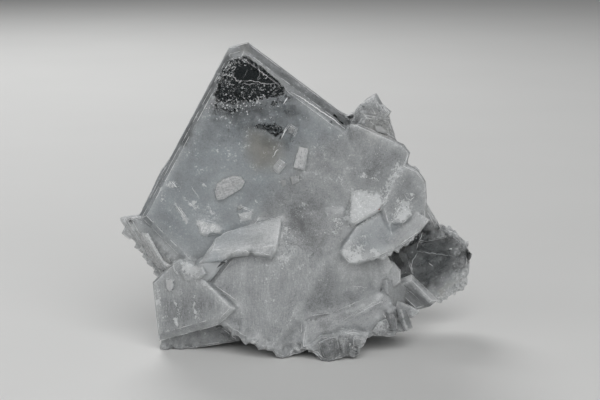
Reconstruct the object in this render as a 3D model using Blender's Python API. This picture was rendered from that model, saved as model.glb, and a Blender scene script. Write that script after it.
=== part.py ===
"""Barite specimen: a cluster of tabular crystals grown into each other, as one solid.

Every crystal is a convex block cut by flat planes. It is described in its own frame:
x to the right and y up along its broad face, z out of that face. The crystals are
placed in the cluster's frame (X right, Y away from the front, Z up), joined into one
solid and cut level where the cluster rests. Lengths are millimetres until the end.
"""

import math
import random

import bmesh
import bpy
from mathutils import Matrix, Vector

MM = 0.001
NAME = "barite_cluster"


class Place:
    """Where the middle of a crystal's face is and how the face is turned, in degrees."""

    def __init__(self, at, yaw=0, pitch=0, roll=0):
        self.at = Vector(at)
        self.turn = (yaw, pitch, roll)

    def matrix(self):
        """Matrix from the crystal's own frame to the cluster's."""
        yaw, pitch, roll = (math.radians(angle) for angle in self.turn)
        return (
            Matrix.Translation(self.at)
            @ Matrix.Rotation(yaw, 4, "Z")
            @ Matrix.Rotation(math.pi / 2 - pitch, 4, "X")
            @ Matrix.Rotation(-roll, 4, "Z")
        )

    def on(self, x, y, z):
        """The place at a point of this crystal's own frame, turned the same way."""
        return Place(self.matrix() @ Vector((x, y, z)), *self.turn)

    def beside(self, x, y, z):
        """The place moved along the cluster's own axes, turned the same way."""
        return Place(self.at + Vector((x, y, z)), *self.turn)

    def turned(self, yaw, pitch, roll=0):
        """The same place with the face turned another way."""
        return Place(self.at, yaw, pitch, roll)


# Where the crystals that others are placed from are, and how thick the plates are.
MAIN = Place((-12.5, -4.0, 34.9))
MAIN_THICK = 5.6
FAN = Place((-3.5, -9.5, 15.4), yaw=-4, pitch=15)
FAN_THICK = 10.0
CLEAR = Place((34.1, 11.5, 16.6), yaw=12)
CLEAR_THICK = 4.5
BLOCK = Place((-23.8, -8.5, 12.8), yaw=-22, pitch=6)
BLOCK_THICK = 8.0
FOOT = Place((-21.9, -5.0, 2.4), pitch=5)
SHELF = Place((-11.4, -7.5, 26.5), yaw=-5, pitch=38)
SLAB = Place((17.8, -7.0, 27.5), yaw=10, pitch=22)
SLAB_THICK = 6.0
PEAK = Place((17.2, 1.5, 53.4), yaw=-8)
UPPER_RIGHT = Place((19.6, -2.8, 44.8), yaw=12, pitch=7)
LOWER_RIGHT = Place((25.3, -3.0, 38.1), yaw=20, pitch=10)
RIGHT_THICK = 7.0
GLINT = Place((12.7, 0.6, 53.4))
PATCH = Place((15.6, -6.2, 33.7), yaw=-5, pitch=25)
SCALE = Place((24.2, -5.2, 32.2), yaw=10, pitch=35)
FLANK_PLATE = Place((5.7, -10.0, 10.0), yaw=13, pitch=17)
FRONT_TIP = Place((8.8, -13.8, 3.2), pitch=12)
WEDGE = Place((21.4, -7.0, 6.5), yaw=15, pitch=15)
BLADE = Place((25.7, -4.0, 6.3), yaw=25, pitch=15)
SLIVER = Place((25.3, -2.0, 10.3), yaw=12, pitch=18)
FRAMED = Place((27.8, 1.0, 11.9), yaw=10, pitch=10)
FACET = Place((21.7, -3.3, 17.0), yaw=20, pitch=8)

# The half angle between barite's prism faces and the roll of the small crystals.
PRISM_HALF_ANGLE = 39.15
AXIS_ROLL = -12.65

# The ridges at the left: how many, how thick, how far apart and which way they run down.
RIDGES = 6
RIDGE_THICK = 1.6
RIDGE_STEP = 1.05
RIDGE_RUN = Vector((0.545, -0.838))

# How the darker flank leans back from the fan's face, and the ragged teeth at its foot:
# x and y on the face, depth behind it, half height.
FLANK_TILT = 25.0
FLANK_SLANT = 30.0
BROW_TILT = 8.0
FAN_TEETH = (
    (-6.4, -10.2, 0.9, 2.6),
    (-3.4, -10.9, 1.6, 2.6),
    (-0.9, -11.9, 0.8, 2.7),
    (1.8, -12.3, 1.4, 2.7),
    (4.2, -11.4, 0.9, 2.6),
)
TOOTH_THICK = 2.4

# Stacks of tablets at the back: place, half height, thickness of one, how many.
BACK_BOOKS = (
    (Place((16.0, 8.5, 38.0), 150, 10, 30), 9.5, 2.3, 3),
    (Place((-17.0, 9.5, 13.0), 138, 10, 20), 11.0, 2.6, 3),
    (Place((16.5, 14.0, 15.0), 118, 6, -8), 10.0, 2.2, 3),
    (Place((-8.0, 9.5, 24.0), 128, 12, 10), 10.5, 2.4, 2),
    (Place((-10.0, 10.0, 8.0), 215, 10, -30), 9.0, 2.4, 3),
    (Place((-24.0, 3.5, 22.0), 196, 4, 40), 7.5, 1.6, 3),
    (Place((2.0, 7.5, 37.0), 228, -8, -30), 8.0, 2.0, 2),
    (Place((6.0, 9.0, 29.0), 232, 6, 60), 8.5, 2.0, 2),
    (Place((5.0, 17.0, 8.0), 205, 20, 30), 8.5, 2.6, 3),
    (Place((24.0, 12.5, 12.0), 150, 10, 20), 6.5, 1.8, 2),
    (Place((-20.0, 5.5, 7.0), 170, -12, 10), 7.0, 2.6, 2),
    (Place((9.0, 3.0, 52.0), 186, 2, 24), 5.0, 1.4, 2),
)
BACK_SEED = 71

# Rims: how far the broad face stands in from the outline, and how deep below it.
WIDE_RIM = ((2.4, 0.0), (1.2, 0.6), (0.0, 1.9))
SOFT_RIM = ((1.1, 0.0), (0.0, 0.9))
FINE_RIM = ((0.5, 0.0), (0.0, 0.4))
TINY_RIM = ((0.25, 0.0), (0.0, 0.25))

# The height at which the cluster is cut level, and the sizes that the cutting needs.
REST_HEIGHT = 0.1
BLANK = 200.0
CORNER_GAP = 0.03
FLAT_ANGLE = math.radians(0.3)


def cut(shape, point, normal):
    """Takes away what lies beyond the plane through point and closes the cut."""
    parts = shape.verts[:] + shape.edges[:] + shape.faces[:]
    result = bmesh.ops.bisect_plane(
        shape, geom=parts, dist=1e-5, plane_co=point, plane_no=normal, clear_outer=True
    )
    rim = [item for item in result["geom_cut"] if isinstance(item, bmesh.types.BMEdge)]
    if rim:
        bmesh.ops.edgeloop_fill(shape, edges=rim)


def wrapped(shape):
    """The convex skin over the corners of a cut shape, with corners that meet made one."""
    bmesh.ops.remove_doubles(shape, verts=shape.verts, dist=CORNER_GAP)
    skin = bmesh.new()
    for corner in shape.verts:
        skin.verts.new(corner.co)
    shape.free()
    hull = bmesh.ops.convex_hull(skin, input=skin.verts)
    loose = [item for item in hull["geom_interior"] if isinstance(item, bmesh.types.BMVert)]
    bmesh.ops.delete(skin, geom=loose, context="VERTS")
    bmesh.ops.dissolve_limit(
        skin, angle_limit=FLAT_ANGLE, verts=skin.verts, edges=skin.edges
    )
    bmesh.ops.recalc_face_normals(skin, faces=skin.faces)
    return skin


def cut_rim(shape, start, outward, widen, face_z, facing, profile):
    """Slopes one edge of a broad face off, along the steps of a rim."""
    for (inset, depth), (next_inset, next_depth) in zip(profile, profile[1:]):
        point = (start - outward * inset * widen).to_3d()
        point.z = face_z - facing * depth
        normal = outward.to_3d() * (next_depth - depth)
        normal.z = facing * (inset - next_inset) * widen
        cut(shape, point, normal.normalized())


class Cluster:
    """The crystals grown so far, as Blender objects in one collection."""

    def __init__(self):
        self.grown = bpy.data.collections.new("crystals")
        bpy.context.scene.collection.children.link(self.grown)

    def crystal(self, place, outline, thick, rim=FINE_RIM, back=FINE_RIM, cuts=()):
        """A plate whose outline is convex; a third number on a point widens its rim."""
        shape = bmesh.new()
        bmesh.ops.create_cube(shape, size=BLANK)
        cut(shape, Vector((0, 0, 0)), Vector((0, 0, 1)))
        cut(shape, Vector((0, 0, -thick)), Vector((0, 0, -1)))
        middle = sum((Vector(point[:2]) for point in outline), Vector((0, 0))) / len(outline)
        for first, second in zip(outline, outline[1:] + outline[:1]):
            start = Vector(first[:2])
            along = (Vector(second[:2]) - start).normalized()
            outward = Vector((along.y, -along.x))
            if outward.dot(start - middle) < 0:
                outward.negate()
            cut(shape, start.to_3d(), outward.to_3d())
            widen = first[2] if len(first) > 2 else 1.0
            cut_rim(shape, start, outward, widen, 0.0, 1, rim)
            cut_rim(shape, start, outward, widen, -thick, -1, back)
        for point, normal in cuts:
            cut(shape, Vector(point), Vector(normal).normalized())
        shape = wrapped(shape)
        shape.transform(Matrix.Scale(MM, 4) @ place.matrix())
        mesh = bpy.data.meshes.new("crystal")
        shape.to_mesh(mesh)
        shape.free()
        grown = bpy.data.objects.new("crystal", mesh)
        grown.hide_render = True
        grown.display_type = "WIRE"
        self.grown.objects.link(grown)

    def tablet(self, place, height, thick, tip=0.75, rim=TINY_RIM):
        """A barite tablet: a rhomb of half height with its two sharp tips cut off."""
        wide = height * math.tan(math.radians(PRISM_HALF_ANGLE))
        blunt = wide * (1 - tip)
        outline = [
            (blunt, height * tip),
            (wide, 0),
            (blunt, -height * tip),
            (-blunt, -height * tip),
            (-wide, 0),
            (-blunt, height * tip),
        ]
        self.crystal(place, outline, thick, rim, rim)

    def book(self, place, height, thick, leaves, seed, shift=0.16):
        """Near parallel tablets stacked like the leaves of a book, each a little moved."""
        chance = random.Random(seed)
        for leaf in range(leaves):
            size = height * chance.uniform(0.72, 1.0)
            x = height * chance.uniform(-shift, shift)
            y = height * chance.uniform(-shift, shift)
            lean = [angle + chance.uniform(-4, 4) for angle in place.turn]
            spot = place.on(x, y, -leaf * thick * 0.8).turned(*lean)
            self.tablet(spot, size, thick, chance.uniform(0.62, 0.9), FINE_RIM)

    def fringe(self, place, start, end, count, size, seed, depth=1.5, spread=7.0, swing=9.0):
        """Small tablets in a row along a line on a crystal's face, for a ragged rim."""
        chance = random.Random(seed)
        for step in range(count):
            share = (step + chance.uniform(0.1, 0.9)) / count
            x = start[0] + (end[0] - start[0]) * share
            y = start[1] + (end[1] - start[1]) * share
            z = -chance.uniform(0.0, 1.0) * depth
            height = size * chance.uniform(0.55, 1.35)
            lean = [angle + chance.uniform(-spread, spread) for angle in place.turn[:2]]
            roll = place.turn[2] + AXIS_ROLL + chance.uniform(-swing, swing)
            thick = height * chance.uniform(0.45, 0.8)
            spot = place.on(x, y, z).turned(*lean, roll)
            self.tablet(spot, height, thick, chance.uniform(0.7, 0.95))


def main_plate(cluster):
    """The large upright plate with its blunt top, side bump and back growth ledges."""
    outline = [
        (-2.3, 34.1, 1.0),
        (1.8, 35.1, 1.25),
        (24.8, 17.7, 0.9),
        (29.0, 8.0),
        (29.0, -4.0),
        (12.0, -29.0),
        (1.0, -30.4),
        (-23.4, -4.8, 0.6),
    ]
    cluster.crystal(MAIN, outline, MAIN_THICK, WIDE_RIM, SOFT_RIM)
    bump = [(-15.4, 9.7), (-18.0, 6.2), (-22.4, -2.8), (-18, -8), (-8, 8)]
    cluster.crystal(MAIN.beside(0, 1.4, 0), bump, thick=3.0)
    back = MAIN.beside(0, MAIN_THICK, 0).turned(180, 0)
    ledge = [(-1.4, 31.0), (0.4, 30.6), (17.5, -1.0), (4.0, -14.0), (-20.0, 17.0)]
    cluster.crystal(back.beside(0, 0.35, 0), ledge, thick=1.5, rim=TINY_RIM)
    second = [(2.0, 24.5), (14.8, 0.5), (4.0, -12.0), (-12.0, 13.0)]
    cluster.crystal(back.beside(0, 0.65, 0), second, thick=1.5, rim=TINY_RIM)


def left_ridges(cluster):
    """Parallel thin plates that step out below the left corner of the main plate."""
    for step in range(RIDGES):
        share = step / (RIDGES - 1)
        tip = Vector((-24.8 - 3.2 * share ** 0.6, -4.9 - 0.9 * share))
        foot = tip + RIDGE_RUN * (15.0 + 6.0 * share)
        outline = [
            (-20.0, -3.2 - 0.24 * step),
            (tip.x + 0.9, tip.y + 0.4),
            (tip.x, tip.y),
            (tip.x + 1.4, tip.y - 2.6),
            (foot.x, foot.y),
            (foot.x + 9.0, foot.y + 3.0),
            (-9.0, -3.0),
        ]
        place = MAIN.beside(0, 0.8 + RIDGE_STEP * step, 0)
        cluster.crystal(place, outline, RIDGE_THICK, TINY_RIM, TINY_RIM)
    place = MAIN.beside(0, 2.0, 0)
    cluster.fringe(place, (-26.0, -7.6), (-18.0, -19.0), count=8, size=1.7, seed=11, depth=2.6)


def lower_left_block(cluster):
    """The thick block at the lower left, the plate it stands on and its white crystals."""
    outline = [
        (-10.0, 2.9, 0.6),
        (-6.0, 7.0, 0.4),
        (-2.8, 8.8, 0.4),
        (-0.8, 8.4, 0.3),
        (10.8, -1.0, 0.7),
        (6.8, -5.1, 1.5),
        (-7.9, -10.4, 0.7),
    ]
    cluster.crystal(BLOCK, outline, BLOCK_THICK, SOFT_RIM)
    foot = [(-9.0, 4.0), (-8.9, -2.5), (-3.2, -2.3), (9.0, -0.3), (9.5, 5.0), (3.0, 7.0)]
    cluster.crystal(FOOT, foot, thick=8.0)
    chip = [(-1.1, 1.3), (0.9, 1.4), (0.8, -1.4), (-0.7, -1.2)]
    cluster.crystal(BLOCK.on(-5.0, 3.0, 0.5).turned(-24, 10, 5), chip, thick=2.0, rim=TINY_RIM)
    cluster.tablet(BLOCK.on(-0.6, 6.6, 0.4).turned(-18, 12, -4), height=2.9, thick=2.0)
    cluster.tablet(BLOCK.on(2.0, 6.9, 0.7).turned(-26, 16, 10), height=2.4, thick=2.0)
    cluster.tablet(BLOCK.on(-3.0, 7.4, 0.2).turned(-12, 10, 20), height=2.2, thick=2.0)


def shelf(cluster):
    """The bright thin plates that come out of the main plate over the fan."""
    whole = [
        (8.3, 6.5, 0.3),
        (7.3, -1.4, 0.5),
        (0.6, -2.4, 0.8),
        (-7.6, -3.2, 0.8),
        (-6.9, 0.3, 0.3),
        (-4.7, 1.8, 0.3),
    ]
    cluster.crystal(SHELF, whole, thick=3.2)
    right = [(7.4, 0.4), (7.1, -2.1), (6.0, -3.5), (2.2, -3.0), (0.8, -1.4), (3.0, 0.8)]
    cluster.crystal(SHELF.on(0, 0, -0.1), right, thick=3.0)
    left = [(-6.9, -0.5), (-9.2, -4.3), (-10.0, -5.8), (-4.6, -4.9), (-1.8, -2.6), (-2.4, -1.0)]
    cluster.crystal(SHELF.on(0, 0, 0.05).turned(-7, 36), left, thick=3.0)
    middle = [(-2.4, -0.6), (-2.8, -3.4), (1.0, -2.9), (1.2, -1.0)]
    cluster.crystal(SHELF.on(0, 0, -0.2).turned(-3, 40), middle, thick=2.5)


def fan(cluster):
    """The thick milky plate that bulges at the lower middle, with its darker flank."""
    slant = math.radians(FLANK_SLANT)
    tilt = math.radians(FLANK_TILT)
    flank = (math.cos(slant) * math.sin(tilt), -math.sin(slant) * math.sin(tilt), math.cos(tilt))
    lean = math.radians(BROW_TILT)
    brow = (0.0, math.sin(lean), math.cos(lean))
    outline = [
        (-14.6, -7.2, 0.9),
        (-7.0, -12.1, 0.8),
        (1.8, -15.0, 0.8),
        (5.6, -13.6, 0.8),
        (18.0, -8.0),
        (25.0, 6.0),
        (20.0, 16.0),
        (0.0, 23.0),
        (-16.5, 1.0),
    ]
    cuts = [((5.0, -2.1, 0.0), flank), ((0.0, 9.0, 0.0), brow)]
    cluster.crystal(FAN, outline, FAN_THICK, SOFT_RIM, SOFT_RIM, cuts)
    yaw, pitch = FAN.turn[:2]
    for x, y, depth, height in FAN_TEETH:
        tooth = FAN.on(x, y, -depth).turned(yaw, pitch - 4, AXIS_ROLL + 2 * x)
        cluster.tablet(tooth, height, TOOTH_THICK, tip=0.9)
    face = FAN.on(0, 0, 0.2)
    cluster.fringe(face, (0.8, 7.5), (3.8, 9.0), 3, 1.5, seed=32, depth=0.1, spread=4, swing=40)
    cluster.fringe(face, (1.2, 12.2), (3.0, 10.6), 3, 1.1, seed=33, depth=0.1, spread=4, swing=40)


def lower_right_plates(cluster):
    """The lighter plate over the fan's flank and the small crystals at its foot."""
    plate = [
        (-4.2, -0.7, 0.3),
        (15.2, 4.3, 0.5),
        (16.9, 3.2, 0.5),
        (17.2, 1.0, 0.5),
        (12.6, -5.4, 0.5),
        (10.5, -6.2, 0.5),
        (-5.0, -7.6, 0.3),
    ]
    cluster.crystal(FLANK_PLATE, plate, thick=7.0, rim=SOFT_RIM)
    left_tip = [(-6.4, -0.2), (-1.7, -3.5), (1.6, -1.6), (0.8, 3.0), (-3.3, 2.8)]
    cluster.crystal(FRONT_TIP.beside(0, -0.2, 0).turned(-6, 10), left_tip, thick=4.5)
    right_tip = [(-0.6, -2.8), (4.9, -1.8), (7.0, 0.3), (8.2, 2.7), (4.5, 3.6), (0.0, 3.0)]
    cluster.crystal(FRONT_TIP.beside(0, 0.2, 0).turned(14, 14), right_tip, thick=5.0)
    cluster.fringe(FRONT_TIP, (-3.6, 0.6), (5.6, 1.2), 6, 2.6, seed=42, depth=1.2, spread=24, swing=45)
    wedge = [(-4.5, -2.2), (-3.8, 0.9), (-2.4, 2.8), (-0.9, 3.1), (2.0, -1.4), (1.2, -2.6)]
    cluster.crystal(WEDGE, wedge, thick=5.0)
    second = [(-2.5, 2.2), (-0.6, 3.2), (1.2, 0.9), (2.2, -2.4), (0.8, -3.0), (-0.8, -2.8)]
    cluster.crystal(WEDGE.on(1.8, 1.2, 0.4).turned(26, 12), second, thick=5.0)
    rough = WEDGE.beside(0, -0.4, 0).turned(18, 15)
    cluster.fringe(rough, (-3.0, 1.0), (2.6, 1.0), 4, 2.0, seed=43, depth=1.0, spread=16, swing=25)
    blade = [(-2.0, 1.0), (0.2, 1.6), (1.1, -0.2), (0.5, -1.6), (-0.6, -2.0), (-1.6, -1.4)]
    cluster.crystal(BLADE, blade, thick=5.0, rim=TINY_RIM)
    sliver = [(-2.8, 1.2), (3.4, -1.9), (1.6, -3.4), (-3.0, -1.2)]
    cluster.crystal(SLIVER, sliver, thick=5.0, rim=TINY_RIM)


def right_plates(cluster):
    """The peak, the two plates that overlap below it and the white patches on them."""
    peak = [
        (-4.2, 0.4),
        (-1.6, 3.0),
        (0.5, 4.3),
        (3.4, -0.6),
        (4.9, -5.4),
        (5.6, -12.0),
        (-7.0, -12.0),
    ]
    cluster.crystal(PEAK, peak, thick=5.5)
    cluster.fringe(PEAK, (-2.6, 0.8), (1.8, -0.8), 5, 2.0, seed=61, depth=0.8, spread=14, swing=25)
    cluster.fringe(PEAK, (1.6, 2.0), (4.2, -5.0), 4, 1.6, seed=62, depth=2.5, spread=12, swing=20)
    upper = [
        (-8.2, 7.6, 0.4),
        (-5.2, 7.2, 0.5),
        (2.7, 3.6, 0.6),
        (5.1, 2.4, 0.6),
        (6.6, 0.4, 0.6),
        (5.6, -3.0, 0.6),
        (0.9, -9.5, 0.6),
        (-6.0, -11.0, 2.5),
        (-9.0, -4.0, 3.0),
    ]
    cluster.crystal(UPPER_RIGHT, upper, RIGHT_THICK, SOFT_RIM)
    lower = [
        (0.3, 4.8, 0.6),
        (2.4, 3.9, 0.6),
        (3.8, 2.3, 0.6),
        (4.8, 0.5, 0.6),
        (4.9, -3.2, 0.6),
        (4.2, -8.0, 0.6),
        (-5.0, -12.0, 0.6),
        (-7.0, -4.0, 0.6),
        (-3.0, 3.5, 0.6),
    ]
    cluster.crystal(LOWER_RIGHT, lower, RIGHT_THICK, SOFT_RIM)
    edge = LOWER_RIGHT.beside(0, 0.6, 0)
    cluster.fringe(edge, (2.0, 3.4), (4.2, -5.5), 5, 1.5, seed=63, depth=2.5, spread=12, swing=20)
    glint = [(-2.4, -0.7), (0.5, 0.7), (0.6, -1.2), (-0.9, -1.8)]
    cluster.crystal(GLINT, glint, thick=2.5, rim=TINY_RIM)
    patch = [(-2.9, 3.4), (2.8, 3.7), (5.1, 1.7), (3.1, -0.6), (-2.4, -4.1), (-4.1, -3.4), (-3.6, 1.0)]
    cluster.crystal(PATCH, patch, thick=3.0)
    scale = [(-0.2, 2.7), (1.4, 1.7), (2.3, -0.6), (-0.3, -2.4), (-3.1, -2.1)]
    cluster.crystal(SCALE, scale, thick=2.5, rim=TINY_RIM)


def slanting_slab(cluster):
    """The bright slab that runs down to the left, with sparkling crystals beneath it."""
    outline = [
        (-8.4, -3.2, 0.5),
        (-4.2, 2.2, 0.3),
        (3.2, 6.2, 0.4),
        (8.5, 6.2, 0.5),
        (13.0, 3.0, 0.6),
        (10.4, 0.2, 0.6),
        (4.9, -3.2, 0.6),
        (0.6, -5.0, 0.8),
        (-4.2, -6.3, 0.6),
        (-6.2, -6.0, 0.6),
    ]
    cluster.crystal(SLAB, outline, SLAB_THICK)
    cluster.fringe(SLAB, (-1.5, -5.0), (8.5, -0.6), count=6, size=1.9, seed=41, depth=1.2)
    under = SLAB.on(0, 0, -3.5)
    cluster.fringe(under, (4.8, -2.6), (9.8, -0.2), 5, 1.3, seed=64, spread=25, swing=40)


def clear_crystal(cluster):
    """The clear plate that stands behind on the right, with its ragged outer rim."""
    plate = [
        (-14.0, 7.0),
        (1.9, 7.5),
        (4.3, 6.5),
        (6.1, 4.7),
        (7.7, 1.5),
        (7.5, -3.3),
        (6.0, -6.9),
        (1.4, -9.6),
        (-14.0, -11.0),
    ]
    cluster.crystal(CLEAR, plate, CLEAR_THICK, SOFT_RIM, SOFT_RIM)
    upper = [(-12.0, 13.0), (-6.3, 15.4), (-4.0, 15.2), (-0.8, 10.2), (1.8, 6.0), (-12.0, 4.0)]
    cluster.crystal(CLEAR.beside(0, -0.9, 0), upper, thick=4.0)
    rims = (((-0.8, 8.8), (7.2, 3.4), 7, 1.5), ((7.0, 2.4), (5.8, -6.4), 6, 1.5))
    rims += (((5.6, -7.0), (-0.5, -9.6), 6, 1.4),)
    for seed, (start, end, count, size) in enumerate(rims, 51):
        cluster.fringe(CLEAR, start, end, count, size, seed, depth=3.5, spread=14, swing=25)


def framed_block(cluster):
    """The small thick tablet with bright edges at the lower right and its neighbour."""
    outline = [
        (-0.7, 4.2),
        (5.4, -2.1),
        (3.5, -3.4, 0.6),
        (-0.3, -4.2, 0.6),
        (-4.9, 0.4, 0.6),
        (-3.7, 3.1),
    ]
    cluster.crystal(FRAMED, outline, thick=9.0, rim=SOFT_RIM)
    facet = [
        (-1.1, 3.5),
        (0.8, 3.4),
        (2.6, 1.0),
        (2.6, -1.3),
        (0.6, -3.5),
        (-1.6, -4.0),
        (-3.0, -1.4),
        (-2.8, 2.0),
    ]
    cluster.crystal(FACET, facet, thick=6.0)


def perched_crystals(cluster):
    """The small white tablets that sit on the main plate's face."""
    bean = [(-3.4, 0.2), (-2.0, 1.8), (2.0, 2.5), (3.4, 1.8), (2.9, 0.2), (-0.2, -1.8), (-2.7, -2.7)]
    cluster.crystal(MAIN.beside(-2.5, -0.6, 2.7).turned(0, 4), bean, thick=1.6)
    bar = [(-0.3, 2.8), (1.7, 2.3), (0.9, -2.7), (-1.6, -2.0)]
    cluster.crystal(MAIN.beside(13.5, -0.6, 9.4).turned(0, 5), bar, thick=1.6, rim=TINY_RIM)
    lozenge = [(-0.1, 1.5), (1.5, 0.4), (-0.1, -1.7), (-1.5, -0.2)]
    cluster.crystal(MAIN.beside(9.0, -0.4, 7.9).turned(0, 3), lozenge, thick=1.2, rim=TINY_RIM)
    second = MAIN.beside(11.5, -0.3, 15.9).turned(0, 0, 78)
    cluster.crystal(second, lozenge, thick=1.0, rim=TINY_RIM)
    lump = [(-2.9, 1.1), (-1.6, 1.8), (0.9, 1.2), (2.9, -0.5), (2.5, -1.4), (-0.9, -1.9), (-2.3, -1.4)]
    cluster.crystal(MAIN.beside(-6.8, -0.8, -6.2).turned(0, 8), lump, thick=1.8)
    flake = [(-1.8, 1.6), (-0.7, 1.4), (1.8, 0.5), (1.3, -1.4), (-0.2, -1.8), (-1.4, -0.7)]
    cluster.crystal(MAIN.beside(0.9, -0.4, -2.8).turned(0, 3), flake, thick=1.2, rim=TINY_RIM)
    needle = [(-1.6, 2.0), (-0.8, 1.8), (1.5, -1.4), (0.9, -2.0)]
    cluster.crystal(MAIN.beside(-13.3, -0.3, -3.0).turned(0, 2), needle, thick=1.0, rim=TINY_RIM)
    second = MAIN.beside(21.4, -0.8, -5.3).turned(6, 8, 30)
    cluster.crystal(second, needle, thick=1.8, rim=TINY_RIM)


def back_plates(cluster):
    """The plates behind, which cross the main plate and carry the cluster at the back."""
    broad = [(-3.0, 24.0), (3.0, 23.5), (20.0, 3.0), (6.0, -20.0), (-4.0, -21.0), (-17.0, -2.0)]
    cluster.crystal(Place((-6.0, 7.5, 25.0), 176, 6, 4), broad, thick=7.0, rim=WIDE_RIM)
    upper = [(-4.0, 12.0), (2.0, 12.5), (8.5, 3.0), (5.0, -14.0), (-6.0, -14.0), (-9.0, 2.0)]
    cluster.crystal(Place((14.0, 7.0, 42.0), 197, 8, -6), upper, thick=6.5, rim=SOFT_RIM)
    left = [(-3.0, 11.0), (3.0, 12.0), (9.5, 1.0), (4.0, -13.0), (-4.0, -13.0), (-8.0, 0.0)]
    cluster.crystal(Place((-17.0, 7.0, 15.0), 158, 8, 12), left, thick=7.0, rim=SOFT_RIM)
    crossing = [(-9.0, 13.0), (4.0, 15.0), (12.0, 4.0), (8.0, -14.0), (-6.0, -15.0), (-13.0, 0.0)]
    cluster.crystal(Place((13.0, 11.0, 18.0), 112, 4, 8), crossing, thick=4.5, rim=SOFT_RIM)
    slanted = [(-6.0, 10.0), (5.0, 12.0), (12.0, 2.0), (6.0, -13.0), (-7.0, -12.0), (-12.0, 0.0)]
    cluster.crystal(Place((2.0, 13.0, 13.0), 166, 24, -10), slanted, thick=7.0, rim=SOFT_RIM)
    foot = [(-8.0, 6.0), (4.0, 9.0), (11.0, 2.0), (9.0, -7.0), (-9.0, -7.0), (-11.0, 0.0)]
    cluster.crystal(Place((11.0, 16.5, 5.5), 158, 12), foot, thick=8.0, rim=SOFT_RIM)
    link = [(-7.0, 8.0), (5.0, 9.0), (10.0, 0.0), (5.0, -9.0), (-7.0, -8.0), (-10.0, 0.0)]
    cluster.crystal(Place((16.5, 11.5, 14.5), 200, 2), link, thick=6.0, rim=SOFT_RIM)
    for seed, (place, height, thick, leaves) in enumerate(BACK_BOOKS, BACK_SEED):
        cluster.book(place, height, thick, leaves, seed)


def grow(cluster):
    main_plate(cluster)
    left_ridges(cluster)
    lower_left_block(cluster)
    shelf(cluster)
    fan(cluster)
    lower_right_plates(cluster)
    right_plates(cluster)
    slanting_slab(cluster)
    clear_crystal(cluster)
    framed_block(cluster)
    perched_crystals(cluster)
    back_plates(cluster)


def ground_box():
    """Everything below the height at which the cluster rests."""
    shape = bmesh.new()
    bmesh.ops.create_cube(shape, size=BLANK)
    bmesh.ops.translate(shape, vec=(0, 0, REST_HEIGHT - BLANK / 2), verts=shape.verts)
    shape.transform(Matrix.Scale(MM, 4))
    mesh = bpy.data.meshes.new("ground")
    shape.to_mesh(mesh)
    shape.free()
    ground = bpy.data.objects.new("ground", mesh)
    ground.hide_render = True
    ground.display_type = "WIRE"
    bpy.context.scene.collection.objects.link(ground)
    return ground


def joined(cluster):
    """One mesh of all the crystals, cut level at the height on which they rest."""
    ground = ground_box()
    seed = cluster.grown.objects[0]
    cluster.grown.objects.unlink(seed)
    bpy.context.scene.collection.objects.link(seed)
    union = seed.modifiers.new("grown together", "BOOLEAN")
    union.operation = "UNION"
    union.solver = "EXACT"
    union.operand_type = "COLLECTION"
    union.collection = cluster.grown
    level = seed.modifiers.new("level", "BOOLEAN")
    level.operation = "DIFFERENCE"
    level.solver = "EXACT"
    level.object = ground
    bpy.context.view_layer.update()
    whole = seed.evaluated_get(bpy.context.evaluated_depsgraph_get())
    mesh = bpy.data.meshes.new_from_object(whole)
    for used in [seed, ground, *cluster.grown.objects]:
        bpy.data.objects.remove(used)
    bpy.data.collections.remove(cluster.grown)
    return mesh


def centred(mesh):
    """Moves the mesh so that the middle of its underside is the origin."""
    low = Vector(min(vertex.co[axis] for vertex in mesh.vertices) for axis in range(3))
    high = Vector(max(vertex.co[axis] for vertex in mesh.vertices) for axis in range(3))
    mesh.transform(Matrix.Translation(((low.x + high.x) / -2, (low.y + high.y) / -2, -low.z)))


def milky_barite():
    """Colourless to milky crystal."""
    finish = bpy.data.materials.new("milky_barite")
    finish.use_nodes = True
    surface = finish.node_tree.nodes["Principled BSDF"]
    surface.inputs["Base Color"].default_value = (0.62, 0.65, 0.67, 1.0)
    surface.inputs["Roughness"].default_value = 0.3
    surface.inputs["Metallic"].default_value = 0.0
    surface.inputs["IOR"].default_value = 1.64
    surface.inputs["Transmission Weight"].default_value = 0.5
    return finish


def build():
    for old in list(bpy.data.objects):
        bpy.data.objects.remove(old)
    cluster = Cluster()
    grow(cluster)
    mesh = joined(cluster)
    centred(mesh)
    mesh.name = NAME
    mesh.materials.clear()
    mesh.materials.append(milky_barite())
    specimen = bpy.data.objects.new(NAME, mesh)
    bpy.context.scene.collection.objects.link(specimen)


build()
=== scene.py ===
"""Looks of the barite specimen: milky and clear tabular crystals grown into one cluster.

The joined cluster is copied from the solid model, cut into small squares, roughened and
painted with soft strokes that say where the crystal is clear, frosted, cloudy or tinted,
and where painted highlights, a painted glow and a few strokes of painted shade lie.
Fine grains, flakes, veins and steps are pieces of their own. Photo points are pixels of
the 600 by 400 photograph. Lengths are metres, or millimetres where a name or a comment
says so.
"""

import math
import random

import bmesh
import bpy
import numpy as np
from mathutils import Matrix, Vector, noise
from mathutils.bvhtree import BVHTree
from mathutils.kdtree import KDTree


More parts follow.
